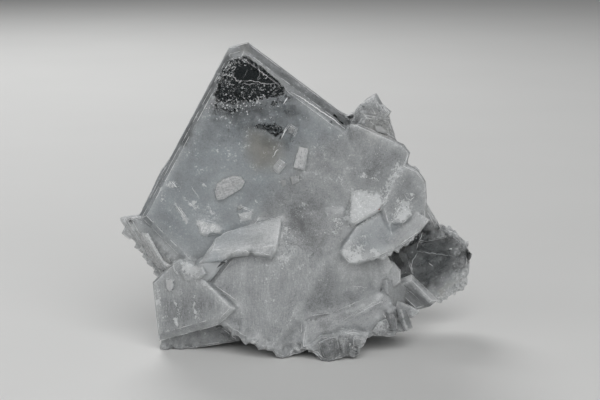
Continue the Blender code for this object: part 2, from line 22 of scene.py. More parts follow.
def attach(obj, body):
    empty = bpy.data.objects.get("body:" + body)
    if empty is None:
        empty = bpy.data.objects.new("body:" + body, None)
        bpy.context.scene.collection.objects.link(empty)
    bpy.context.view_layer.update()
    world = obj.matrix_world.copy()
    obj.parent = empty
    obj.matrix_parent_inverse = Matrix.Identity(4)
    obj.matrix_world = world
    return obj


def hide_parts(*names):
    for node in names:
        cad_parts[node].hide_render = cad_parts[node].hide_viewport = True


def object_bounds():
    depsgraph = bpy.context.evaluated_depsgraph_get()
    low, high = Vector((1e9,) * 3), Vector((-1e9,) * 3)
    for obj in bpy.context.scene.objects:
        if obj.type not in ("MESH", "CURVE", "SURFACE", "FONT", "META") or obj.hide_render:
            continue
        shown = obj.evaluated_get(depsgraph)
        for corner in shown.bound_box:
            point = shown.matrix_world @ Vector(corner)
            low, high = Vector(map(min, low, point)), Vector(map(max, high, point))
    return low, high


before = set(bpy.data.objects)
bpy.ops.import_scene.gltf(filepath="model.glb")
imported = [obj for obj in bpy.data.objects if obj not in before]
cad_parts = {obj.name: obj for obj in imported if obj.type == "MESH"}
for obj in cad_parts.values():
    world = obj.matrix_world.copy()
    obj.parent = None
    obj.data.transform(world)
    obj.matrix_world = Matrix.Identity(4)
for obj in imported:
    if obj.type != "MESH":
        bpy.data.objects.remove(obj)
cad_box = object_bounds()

MM = 0.001
NODE = "barite_cluster"

# The camera, which stands where the photograph was taken from.
PHOTO_WIDTH = 600
PHOTO_HEIGHT = 400
CAMERA_AT = Vector((0.24, -375.007, 112.812)) * MM
CAMERA_AIM = Vector((0.24, -3.898, 33.93)) * MM
LENS = 100.0
SENSOR = 36.0

# How finely the cluster's surface is cut.
MERGE_MM = 0.001
FLAT_ANGLE = math.radians(0.2)
GRID_MM = 1.0
GRID_START_MM = 0.37
GRID_SLACK = 1e-7

# Which faces the photograph sees, and which of them are large enough to cut again.
SEEN_WITHIN_MM = 0.3
SEEN_TURN = 0.2
SMALLEST_MM2 = 0.12

# Which edges count as sharp and as fully sharp, how far apart the points along them are,
# and up to which angle an edge is shaded smooth.
SHARP_ANGLE = math.radians(16)
FULL_ANGLE = math.radians(55)
EDGE_STEP_MM = 0.25
SMOOTH_ANGLE = math.radians(30)

# Stands in for 0 in a division.
TINY = 1e-14


# Modelling helpers.


def only(piece):
    """Selects this piece alone and makes it active."""
    bpy.ops.object.select_all(action="DESELECT")
    piece.select_set(True)
    bpy.context.view_layer.objects.active = piece


def edit(piece):
    """Opens a piece for editing with all of it selected."""
    only(piece)
    bpy.ops.object.mode_set(mode="EDIT")
    bpy.ops.mesh.select_all(action="SELECT")


def done():
    bpy.ops.object.mode_set(mode="OBJECT")


def linked(name, data):
    piece = bpy.data.objects.new(name, data)
    bpy.context.scene.collection.objects.link(piece)
    return piece


def numbers(items, field, width=1):
    """One field of all of a mesh's vertices, edges or faces as an array."""
    values = np.zeros(len(items) * width, np.float64)
    items.foreach_get(field, values)
    return values.reshape(-1, width) if width > 1 else values


def eased(values):
    """Values clipped to 0 to 1, with soft ends."""
    clipped = np.clip(values, 0, 1)
    return clipped * clipped * (3 - 2 * clipped)


def sides_of(outline):
    """The sides of an outline, each as its two ends."""
    return zip(outline, outline[1:] + outline[:1])


def in_outline(x, y, outline):
    """Whether a point, or each of many points, lies inside an outline."""
    inside = False
    for (ax, ay), (bx, by) in sides_of(outline):
        crossing = ax + (y - ay) * (bx - ax) / ((by - ay) or TINY)
        inside = inside ^ (((ay > y) != (by > y)) & (x < crossing))
    return inside


def store(mesh, name, values):
    """Stores one number, or one place, for each of a mesh's vertices under that name."""
    kind, field = ("FLOAT", "value") if values.ndim == 1 else ("FLOAT_VECTOR", "vector")
    attribute = mesh.attributes.new(name, kind, "POINT")
    attribute.data.foreach_set(field, values.astype(np.float32).ravel())


def modify(piece, kind, **settings):
    """Applies one modifier to a piece."""
    modifier = piece.modifiers.new(kind, kind)
    for name, value in settings.items():
        setattr(modifier, name, value)
    only(piece)
    bpy.ops.object.modifier_apply(modifier=modifier.name)


class Photo:
    """Finds the place on the cluster that a point of the photograph shows."""

    def __init__(self):
        self.forward = (CAMERA_AIM - CAMERA_AT).normalized()
        self.right = self.forward.cross(Vector((0, 0, 1))).normalized()
        self.up = self.right.cross(self.forward)
        self.reach = LENS / SENSOR * PHOTO_WIDTH
        self.tree = None

    def ray(self, x, y):
        """The direction of the sight line through a photo point."""
        across = (x - PHOTO_WIDTH / 2) / self.reach
        rise = (PHOTO_HEIGHT / 2 - y) / self.reach
        return (self.forward + self.right * across + self.up * rise).normalized()

    def look_at(self, piece):
        points = [vertex.co.copy() for vertex in piece.data.vertices]
        faces = [tuple(face.vertices) for face in piece.data.polygons]
        self.tree = BVHTree.FromPolygons(points, faces)

    def on(self, x, y):
        """Place and outward direction where the sight line meets, or passes, the cluster."""
        sight = self.ray(x, y)
        place, normal, _, _ = self.tree.ray_cast(CAMERA_AT, sight)
        if place is None:
            beside = CAMERA_AT + sight * ((-CAMERA_AT.y) / sight.y)
            place, normal, _, _ = self.tree.find_nearest(beside)
        return place, normal

    def on_plane(self, x, y, place, out):
        """Where the sight line of a photo point meets the plane through a place."""
        sight = self.ray(x, y)
        return CAMERA_AT + sight * ((place - CAMERA_AT).dot(out) / sight.dot(out))

    def sees(self, place):
        """True if nothing of the cluster is in front of that place."""
        sight = place - CAMERA_AT
        hit, _, _, _ = self.tree.ray_cast(CAMERA_AT, sight.normalized())
        return hit is not None and (hit - place).length < SEEN_WITHIN_MM * MM


photo = Photo()


# The cluster's surface.


def merged_copy():
    """A copy of the joined crystals, merged, with whole flat faces."""
    piece = linked("grown_crystals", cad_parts[NODE].data.copy())
    edit(piece)
    bpy.ops.mesh.remove_doubles(threshold=MERGE_MM * MM)
    bpy.ops.mesh.dissolve_limited(angle_limit=FLAT_ANGLE)
    done()
    return piece


def cut_small(piece):
    """Cuts the surface into small squares, half as large where the photograph sees it."""
    edit(piece)
    lowest, highest = cad_box
    for axis in range(3):
        along = [float(axis == other) for other in range(3)]
        place = lowest[axis] + GRID_START_MM * MM
        while place < highest[axis]:
            at = [place * share for share in along]
            bpy.ops.mesh.select_all(action="SELECT")
            bpy.ops.mesh.bisect(plane_co=at, plane_no=along, threshold=GRID_SLACK)
            place += GRID_MM * MM
    bpy.ops.mesh.select_all(action="SELECT")
    bpy.ops.mesh.quads_convert_to_tris()
    bpy.ops.mesh.select_all(action="DESELECT")
    done()
    photo.look_at(piece)
    for face in piece.data.polygons:
        in_front = face.normal.y < SEEN_TURN and face.area > SMALLEST_MM2 * MM * MM
        face.select = in_front and photo.sees(face.center)
    bpy.ops.object.mode_set(mode="EDIT")
    bpy.ops.mesh.select_mode(type="FACE")
    bpy.ops.mesh.subdivide(number_cuts=1)
    bpy.ops.mesh.select_all(action="SELECT")
    bpy.ops.mesh.quads_convert_to_tris()
    done()


class EdgePoints:
    """Points along edges, each with how sharp the edge is, that can be searched by place."""

    def __init__(self, points):
        self.sharpness = [share for _, share in points]
        self.tree = KDTree(len(points))
        for index, (point, _) in enumerate(points):
            self.tree.insert(point, index)
        self.tree.balance()

    def near(self, places, reach):
        """How near each place is to a sharp edge, from 0 to 1. Reach is in mm."""
        found = [self.tree.find(place) for place in places]
        gaps = np.array([gap for _, _, gap in found])
        sharpness = np.array([self.sharpness[index] for _, index, _ in found])
        return np.exp(-((gaps / (reach * MM)) ** 2)) * sharpness


def sharp_edges(piece):
    """The points along the ridges, those along the creases, and the ridges as lines."""
    shape = bmesh.new()
    shape.from_mesh(piece.data)
    ridges, creases, lines = [], [], []
    for edge in shape.edges:
        if len(edge.link_faces) != 2:
            continue
        angle = edge.calc_face_angle_signed(0.0)
        if abs(angle) < SHARP_ANGLE:
            continue
        start, end = (vertex.co.copy() for vertex in edge.verts)
        steps = max(1, round((end - start).length / (EDGE_STEP_MM * MM)))
        share = min(1.0, abs(angle) / FULL_ANGLE)
        points = [(start.lerp(end, step / steps), share) for step in range(steps + 1)]
        (ridges if angle > 0 else creases).extend(points)
        if angle > 0:
            lines.append([point for point, _ in points])
    shape.free()
    return EdgePoints(ridges), EdgePoints(creases), lines


cluster = merged_copy()
ridges, creases, ridge_lines = sharp_edges(cluster)
cut_small(cluster)


# Painting.


# How near the plane of a crystal's broad face its vertices are, and the least cosine of the
# angle between their normals and the face's.
FACE_SLACK_MM = 0.15
FACE_TURN = 0.9
# How much the pattern of growth lines changes along them, for 1 across them.
LINE_STRETCH = 0.09


class Crystal:
    """One crystal's broad face: a point on it in mm, how it is turned and how its lines run.

    Yaw and pitch turn the face as in the solid model. Lean is the angle of its growth lines
    from upright on the face, clockwise in degrees. The face ends that far from its point.
    """

    def __init__(self, at, yaw=0.0, pitch=0.0, *, lean, streaks, reach=40.0):
        yaw, pitch, lean = (math.radians(angle) for angle in (yaw, pitch, lean))
        self.at = np.array(at) * MM
        self.out = np.array(
            (math.sin(yaw) * math.cos(pitch), -math.cos(yaw) * math.cos(pitch), math.sin(pitch))
        )
        up = np.array((0.0, 0.0, 1.0)) - self.out[2] * self.out
        up /= np.linalg.norm(up)
        right = np.cross(up, self.out)
        self.along = math.cos(lean) * up + math.sin(lean) * right
        self.across = math.cos(lean) * right - math.sin(lean) * up
        self.reach = reach * MM
        self.streaks = streaks

    def lines(self, points):
        """Where points are across and along this crystal's growth lines, in mm."""
        away = (points - self.at) / MM
        along = away @ self.along * LINE_STRETCH
        return np.stack((away @ self.across, along, away @ self.out), axis=1)

    def holds(self, points, normals):
        """Which vertices lie on this crystal's broad face."""
        away = points - self.at
        flat = np.abs(away @ self.out) < FACE_SLACK_MM * MM
        level = normals @ self.out > FACE_TURN
        return flat & level & (np.linalg.norm(away, axis=1) < self.reach)


CRYSTALS = {
    "main": Crystal((-13.23, -7.9, 34.8), lean=128, streaks=0.15),
    "fan": Crystal((-4.23, -13.4, 15.3), -4, 15, lean=3, reach=24, streaks=0.8),
    "block": Crystal((-24.53, -12.4, 12.7), -22, 6, lean=-3, reach=18, streaks=0.9),
    "shelf": Crystal((-12.13, -11.4, 26.4), -5, 38, lean=75, reach=13, streaks=0.8),
    "slab": Crystal((17.07, -10.9, 27.4), 10, 22, lean=52, reach=16, streaks=0.25),
    "peak": Crystal((16.47, -2.4, 53.3), -8, lean=40, reach=16, streaks=0.1),
    "upper right": Crystal((18.87, -6.7, 44.7), 12, 7, lean=20, reach=14, streaks=0.3),
    "lower right": Crystal((24.57, -6.9, 38.0), 20, 10, lean=20, reach=13, streaks=0.2),
    "flank": Crystal((4.97, -13.9, 9.9), 13, 17, lean=62, reach=20, streaks=0.6),
    "clear": Crystal((33.37, 7.6, 16.5), 12, lean=70, reach=22, streaks=0.5),
    "framed": Crystal((27.07, -2.9, 11.8), 10, 10, lean=135, reach=8, streaks=1.0),
}

# The bevelled edges of the large plate: two points as X and Z in mm, how wide the bevel is
# in mm, and how glassy and how thick its milk is.
PLATE_EDGES = (
    ((-11.4, 69.9), (11.6, 52.5), 5.2, 0.16, -0.12),
    ((-15.5, 68.9), (-11.4, 69.9), 4.5, 0.15, -0.3),
    ((-15.5, 68.9), (-36.6, 30.0), 3.5, 0.1, -0.15),
)
# The bevels lie in front of that Y, are turned to the front by that much and start just
# before the first point. Their lines run along the edge, because the pattern changes with Y
# and hardly with X and Z, and they are that strong.
BEVEL_FRONT_MM = -5.5
BEVEL_TURN = -0.3
BEVEL_START = -0.1
BEVEL_LINES = (0.05, 2.0, 0.05)
BEVEL_STREAKS = 0.55

# How soft a brush is, as a share of its radius, and how deep the paint of an area reaches:
# in front of it, behind it, and behind it in the layers that are seen into.
BRUSH_SOFT = 0.5
PAINT_FRONT_MM = 2.5
PAINT_BACK_MM = 2.5
PAINT_DEEP_MM = 8
DEEP_LAYERS = ("clear", "glass")

# How far the paint along sharp edges reaches: pale rims, worn and a painted highlight, soft
# creases, and a painted glow that makes the milk thicker, so paler, near the edges.
RIM_REACH_MM = 0.3
CREASE_REACH_MM = 0.6
PAINTED_GLOW_REACH_MM = 1.8
PAINTED_EDGE_GLOW = 0.25

# The layers that the modifiers use, in steps, and those that the finish reads.
RELIEF_LAYERS = ("rough", "broken", "melted", "softened", "molten")
RELIEF_STEPS = 10
FINISH_LAYERS = (
    "clear", "glass", "frost", "tone", "cool", "tint", "rust", "rim", "grainy", "streaks",
)


class Paint:
    """Soft strokes on the cluster's surface, kept as one number a vertex for each layer."""

    def __init__(self, piece):
        self.piece = piece
        self.points = numbers(piece.data.vertices, "co", 3)
        self.normals = numbers(piece.data.vertices, "normal", 3)
        self.layers = {}

    def layer(self, name):
        return self.layers.setdefault(name, np.zeros(len(self.points)))

    def lay(self, name, weight, strength):
        """Adds tone, or raises another layer to that strength. Below 0 takes paint away."""
        layer = self.layer(name)
        if name == "tone" or strength < 0:
            layer += weight * strength
        else:
            np.maximum(layer, weight * strength, out=layer)

    def stroke(self, name, line, radius, strength):
        """Paints along a line of photo points with a round brush of that radius in mm."""
        spots = [np.array(photo.on(x, y)[0]) for x, y in line]
        near = np.linalg.norm(self.points - spots[0], axis=1)
        for start, end in zip(spots, spots[1:]):
            run = end - start
            share = np.clip((self.points - start) @ run / (run @ run), 0, 1)
            gap = np.linalg.norm(self.points - start - share[:, None] * run, axis=1)
            near = np.minimum(near, gap)
        edge = radius * BRUSH_SOFT * MM
        self.lay(name, eased((radius * MM + edge - near) / (2 * edge)), strength)

    def area(self, name, outline, strength, soft):
        """Paints inside an outline of photo points, with an edge that soft in mm."""
        hits = [photo.on(x, y) for x, y in outline]
        middle = np.mean([np.array(place) for place, _ in hits], axis=0)
        out = np.mean([np.array(normal) for _, normal in hits], axis=0)
        out /= np.linalg.norm(out)
        side = np.cross((0.0, 0.0, 1.0), out)
        side /= np.linalg.norm(side)
        rise = np.cross(out, side)
        corners = []
        for place, _ in hits:
            corner = np.array(place) - middle
            corners.append((corner @ side, corner @ rise))
        away = self.points - middle
        x, y, depth = away @ side, away @ rise, away @ out
        near = np.full(len(x), np.inf)
        for (ax, ay), (bx, by) in sides_of(corners):
            run_x, run_y = bx - ax, by - ay
            share = ((x - ax) * run_x + (y - ay) * run_y) / max(run_x**2 + run_y**2, TINY)
            share = np.clip(share, 0, 1)
            near = np.minimum(near, np.hypot(x - ax - share * run_x, y - ay - share * run_y))
        signed = np.where(in_outline(x, y, corners), near, -near)
        weight = eased((signed + soft * MM) / (2 * soft * MM))
        back = PAINT_DEEP_MM if name in DEEP_LAYERS else PAINT_BACK_MM
        weight *= (depth < PAINT_FRONT_MM * MM) & (depth > -back * MM)
        self.lay(name, weight, strength)

    def growth_lines(self):
        """Stores where each vertex is across and along its crystal's growth lines, in mm."""
        lines = self.points / MM
        free = np.ones(len(lines), bool)
        for crystal in CRYSTALS.values():
            mine = free & crystal.holds(self.points, self.normals)
            lines[mine] = crystal.lines(self.points[mine])
            self.lay("streaks", mine, crystal.streaks)
            free &= ~mine
        in_front = self.points[:, 1] < BEVEL_FRONT_MM * MM
        tilted = free & in_front & (self.normals[:, 1] < BEVEL_TURN)
        for start, end, width, glass, tone in PLATE_EDGES:
            run = np.array(end) - np.array(start)
            away = self.points[:, ::2] / MM - np.array(start)
            share = away @ run / (run @ run)
            gap = np.abs(away @ np.array((run[1], -run[0]))) / np.linalg.norm(run)
            bevel = tilted & (share > BEVEL_START) & (share < 1.0) & (gap < width)
            tilted &= ~bevel
            lines[bevel] *= BEVEL_LINES
            self.lay("tone", bevel, tone)
            self.lay("glass", bevel, glass)
            self.lay("streaks", bevel, BEVEL_STREAKS)
        store(self.piece.data, "lines", lines)

    def group(self, name):
        """A vertex group from a layer, for the modifiers."""
        group = self.piece.vertex_groups.new(name=name + " relief")
        levels = np.round(np.clip(self.layer(name), 0, 1) * RELIEF_STEPS).astype(int)
        for level in range(1, RELIEF_STEPS + 1):
            chosen = np.flatnonzero(levels == level).tolist()
            group.add(chosen, level / RELIEF_STEPS, "REPLACE")


# What is painted inside outlines of photo points: strength, softness in mm and outline.
PAINTED_AREAS = {
    "clear": (
        (0.7, 1.0, (228, 59), (246, 56), (263, 68), (281, 83), (292, 92), (281, 96), (264, 101),
         (245, 104), (230, 105), (218, 101), (213, 94), (217, 83), (222, 73)),
        (0.46, 2.0, (206, 96), (218, 100), (232, 106), (264, 100), (291, 92), (298, 100), (270, 108),
         (240, 114), (212, 114)),
        (1.3, 0.4, (234, 71), (239, 67), (256, 67), (262, 71), (260, 76), (257, 81), (249, 81),
         (240, 80)),
        (1.2, 0.4, (262, 69), (279, 82), (269, 82), (261, 78)),
        (0.9, 0.4, (223, 68), (233, 66), (233, 72), (222, 74)),
        (0.55, 1.0, (222, 108), (240, 106), (242, 113), (228, 117)),
        (0.49, 0.5, (248, 125.5), (256, 123), (268, 122.5), (278, 123), (288, 130), (283, 140),
         (275, 138), (266, 133), (257, 129.5)),
        (0.44, 1.5, (268, 117), (280, 118), (290, 124), (284, 129), (272, 124)),
        (0.5, 0.6, (247, 125), (258, 123), (258, 128), (250, 128)),
        (0.42, 1.2, (285, 131), (298, 133), (297, 142), (286, 142)),
        (0.48, 1.2, (281, 109), (296, 107), (298, 115), (285, 116)),
        (0.36, 1.2, (421, 235), (434, 238), (440, 246), (438, 251), (424, 250), (419, 247)),
        (0.3, 2.0, (431, 255), (450, 257), (455, 265), (448, 272), (436, 270)),
        (0.3, 0.8, (458, 243), (463, 245), (464, 254), (459, 252)),
        (0.55, 0.8, (400, 243), (404, 240), (413, 236), (419, 233), (421, 240), (416, 248), (405, 253),
         (399, 249)),
    ),
    "glass": (
        (0.1, 0.4, (228, 56), (230, 44), (250, 41), (250, 54)),
        (0.28, 1.4, (421, 230), (438, 236), (452, 246), (456, 262), (450, 276), (436, 288), (422, 284),
         (412, 276), (416, 250)),
        (0.4, 0.8, (423, 206), (432, 212), (445, 226), (462, 238), (470, 255), (471, 272), (463, 288),
         (452, 297), (438, 300), (424, 288), (412, 276), (420, 232)),
        (0.32, 0.6, (401, 285), (412, 281), (436, 303), (420, 308), (399, 293)),
        (0.34, 1.2, (316, 347), (322, 338), (345, 336), (363, 339), (357, 349), (340, 356), (325, 356)),
        (0.36, 0.8, (384, 312), (398, 308), (402, 322), (392, 330), (384, 322)),
        (0.1, 0.6, (163, 343), (188, 336), (214, 327), (234, 340), (200, 348), (165, 349)),
        (0.1, 0.8, (388, 254), (400, 252), (403, 264), (400, 280), (392, 272)),
        (0.4, 0.6, (127, 217), (136, 217), (136, 223), (126, 223)),
        (0.3, 0.5, (152, 245), (156, 242), (168, 253), (166, 262), (154, 251)),
        (0.14, 1.5, (262, 137), (290, 139), (288, 148), (264, 146)),
        (0.26, 3.0, (208, 100), (262, 98), (294, 92), (312, 112), (300, 128), (250, 124), (212, 118)),
        (0.2, 0.8, (255, 118), (275, 118), (286, 126), (262, 124)),
    ),
    "frost": (
        (0.85, 1.3, (353, 191), (359, 190), (364, 192), (379, 191), (380, 197), (382, 202), (381, 210),
         (375, 214), (364, 224), (349, 224), (345, 220), (350, 203)),
        (0.68, 1.3, (397, 198), (406, 199), (410, 208), (414, 214), (403, 223), (391, 220), (396, 215),
         (401, 210)),
        (0.38, 0.5, (381, 200), (388, 192), (392, 194), (384, 206)),
        (0.56, 0.7, (332, 226), (336, 217), (343, 215), (342, 226), (336, 236), (332, 234)),
        (0.38, 1.5, (340, 251), (352, 243), (359, 232), (364, 232), (362, 244), (368, 248), (363, 258),
         (359, 264), (348, 263), (342, 256)),
        (0.6, 0.5, (341, 252), (350, 250), (358, 252), (363, 256), (358, 264), (349, 263), (343, 257)),
        (0.62, 0.5, (369, 250), (374, 262), (381, 257), (374, 247)),
        (0.7, 1.0, (181, 262), (188, 258), (200, 259), (202, 268), (194, 277), (184, 275)),
        (0.36, 0.5, (199, 273), (206, 274), (207, 287), (200, 286)),
        (0.46, 0.8, (140, 234), (148, 234), (153, 243), (160, 258), (161, 266), (170, 267), (161, 270),
         (153, 261), (146, 250), (142, 242)),
        (0.42, 0.5, (122, 225), (134, 224), (136, 236), (130, 236)),
        (0.44, 0.5, (153, 287), (158, 288), (162, 303), (156, 305)),
        (0.52, 0.4, (166, 280), (172, 279), (173, 289), (169, 291)),
        (1.1, 0.6, (196, 221), (202, 220), (207, 225), (215, 224), (222, 229), (220, 232), (212, 232),
         (207, 235), (200, 233), (199, 227)),
        (0.75, 0.7, (238, 213), (246, 212), (253, 211), (250, 218), (245, 221), (240, 221)),
        (0.8, 0.5, (237, 207), (239, 205), (243, 206), (242, 210), (238, 210)),
        (0.5, 0.5, (374, 330), (379, 322), (385, 320), (387, 330)),
        (0.46, 0.5, (340, 330), (354, 330), (353, 335), (341, 335)),
        (0.34, 1.2, (277, 256), (288, 254), (291, 268), (280, 271)),
        (0.5, 0.6, (282, 227), (288, 226), (292, 231), (287, 235)),
        (0.5, 0.6, (281, 246), (284, 239), (288, 243), (287, 247)),
        (0.45, 0.4, (233, 341), (248, 343), (247, 346), (236, 345)),
    ),
    "tone": (
        (0.22, 0.8, (206, 262), (212, 246), (240, 232), (283, 216), (283, 238), (274, 256), (238, 253)),
        (0.14, 1.5, (262, 226), (284, 216), (282, 238), (274, 256), (262, 252)),
        (-0.2, 3.0, (288, 213), (350, 212), (345, 240), (330, 258), (290, 258)),
        (-0.22, 1.6, (291, 212), (300, 211), (302, 224), (293, 228)),
        (0.08, 3.0, (230, 262), (330, 262), (300, 330), (262, 335), (232, 300)),
        (-0.15, 1.5, (325, 262), (290, 300), (275, 335), (300, 345), (318, 318), (340, 285)),
        (-0.1, 1.6, (298, 290), (330, 284), (333, 305), (306, 316)),
        (-0.1, 2.0, (320, 318), (345, 300), (385, 285), (385, 312), (345, 328), (322, 338)),
        (0.2, 2.5, (332, 262), (362, 258), (372, 270), (356, 284), (334, 284)),
        (-0.25, 2.0, (310, 312), (330, 302), (360, 286), (384, 278), (390, 292), (360, 304), (320, 322)),
        (-0.25, 1.5, (320, 322), (345, 330), (390, 318), (400, 334), (360, 342), (322, 342)),
        (-0.35, 0.8, (231, 318), (240, 320), (241, 329), (233, 328)),
        (-0.14, 3.0, (362, 160), (392, 158), (392, 172), (366, 178)),
        (-0.15, 3.0, (222, 100), (300, 98), (300, 140), (225, 140)),
        (0.12, 1.5, (184, 262), (210, 262), (222, 275), (205, 290), (188, 285)),
        (-0.12, 2.0, (165, 300), (230, 290), (232, 310), (200, 330), (165, 336)),
        (-0.3, 0.8, (143, 255), (156, 262), (158, 280), (148, 272)),
        (-0.3, 0.6, (346, 124), (374, 96), (392, 130), (396, 140), (366, 126)),
        # Painted shade under the shelf's lower edge.
        (-0.2, 0.4, (205, 263), (238, 257), (256, 254), (276, 258), (275, 264), (240, 263), (212, 269)),
        (-0.06, 3.0, (360, 145), (380, 140), (394, 160), (384, 176), (362, 176)),
        (-0.2, 0.8, (396, 140), (408, 152), (402, 166), (392, 152)),
        (0.18, 2.5, (150, 238), (200, 236), (228, 228), (212, 250), (200, 262), (180, 260), (162, 256)),
        (-0.5, 1.0, (404, 218), (424, 222), (420, 236), (402, 240)),
        (0.15, 2.0, (356, 108), (372, 98), (386, 128), (372, 160), (360, 140)),
        (0.2, 2.5, (222, 106), (258, 104), (260, 120), (228, 124)),
        (0.2, 2.0, (392, 252), (410, 250), (408, 284), (392, 300)),
        (-0.15, 2.0, (284, 226), (302, 226), (302, 246), (286, 252)),
        (0.12, 2.0, (158, 250), (196, 250), (196, 262), (170, 262)),
        (-0.12, 1.5, (262, 137), (290, 139), (288, 148), (264, 146)),
        (-0.25, 1.5, (283, 126), (300, 124), (302, 144), (284, 144)),
        (-0.25, 1.5, (340, 112), (352, 108), (362, 118), (362, 134), (350, 136), (342, 126)),
        (-0.3, 0.8, (252, 244), (275, 240), (273, 256), (262, 254), (250, 252)),
        (-0.15, 1.5, (306, 320), (330, 318), (330, 340), (306, 342)),
        (-0.15, 2.0, (318, 304), (345, 298), (385, 296), (388, 314), (340, 320)),
        (0.15, 3.0, (336, 260), (366, 262), (384, 278), (372, 298), (340, 300)),
        (0.3, 1.2, (370, 122), (388, 124), (392, 134), (372, 134)),
        (0.12, 1.5, (150, 232), (168, 240), (176, 262), (160, 268)),
        (-0.2, 1.5, (340, 240), (364, 240), (362, 262), (344, 262)),
        (-0.25, 1.5, (380, 228), (400, 226), (398, 246), (382, 248)),
        (0.35, 1.2, (396, 252), (410, 248), (411, 276), (398, 278)),
        (-0.4, 0.6, (399, 302), (418, 308), (414, 318), (404, 316)),
        (-0.08, 3.0, (200, 125), (285, 125), (285, 165), (190, 165)),
        (-0.09, 3.0, (240, 188), (330, 190), (330, 250), (290, 250), (285, 214), (240, 214)),
        (-0.25, 1.0, (380, 290), (392, 290), (392, 304), (380, 304)),
        (0.1, 2.0, (335, 256), (372, 258), (372, 300), (340, 305)),
        (-0.3, 1.0, (402, 222), (422, 222), (418, 240), (402, 240)),
    ),
    "tint": (
        (0.62, 2.2, (249, 131), (260, 132), (270, 138), (281, 143), (282, 156), (274, 168), (256, 168),
         (247, 152)),
        (0.3, 1.0, (372, 125), (387, 124), (388, 133), (374, 133)),
        (0.2, 2.0, (365, 110), (388, 115), (395, 138), (410, 154), (398, 160), (365, 135)),
        (0.45, 0.6, (140, 234), (153, 243), (161, 266), (146, 250)),
        (0.3, 0.6, (150, 250), (173, 262), (168, 270), (155, 262)),
        (0.14, 1.0, (350, 192), (380, 192), (380, 212), (348, 224)),
        (0.25, 0.5, (240, 44), (250, 43), (250, 54), (240, 54)),
        (0.35, 0.8, (446, 284), (464, 280), (458, 294), (442, 298)),
    ),
    "molten": (
        (1.0, 2.0, (300, 322), (322, 294), (350, 268), (376, 268), (380, 290), (378, 316), (345, 338),
         (306, 340)),
    ),
    "plain": (
        (1.0, 1.0, (300, 318), (320, 306), (386, 280), (392, 296), (384, 332), (345, 340), (314, 345)),
        (1.0, 0.4, (226, 40), (252, 40), (252, 56), (227, 58)),
        (1.0, 0.4, (200, 276), (212, 278), (242, 308), (236, 312), (222, 302), (200, 290)),
        (1.0, 0.4, (180, 264), (196, 254), (206, 258), (206, 276), (190, 282), (178, 272)),
        (1.0, 0.4, (202, 256), (236, 248), (262, 246), (262, 256), (236, 260), (204, 268)),
        (1.0, 0.6, (340, 122), (350, 124), (360, 152), (362, 188), (344, 188), (342, 150)),
        (0.8, 0.6, (374, 202), (382, 204), (405, 170), (397, 162)),
        (1.0, 0.6, (318, 338), (364, 338), (360, 354), (322, 360)),
    ),
    "cool": (
        (0.5, 4.0, (232, 110), (290, 96), (340, 132), (300, 150), (240, 240), (190, 258), (140, 215),
         (205, 108)),
        (0.5, 1.0, (200, 258), (215, 248), (225, 260), (218, 275), (204, 276)),
        (0.4, 1.5, (348, 238), (375, 215), (400, 226), (384, 250), (364, 250)),
        (0.2, 1.5, (352, 192), (380, 192), (375, 214), (350, 222)),
    ),
    "softened": (
        (1.0, 1.5, (346, 186), (386, 186), (388, 214), (366, 230), (340, 230)),
        (1.0, 1.5, (390, 192), (418, 192), (420, 218), (402, 228), (384, 224)),
        (0.6, 1.0, (194, 218), (224, 218), (224, 237), (196, 237)),
    ),
    "melted": (
        (1.0, 2.0, (286, 206), (352, 206), (346, 240), (330, 272), (286, 268)),
    ),
}

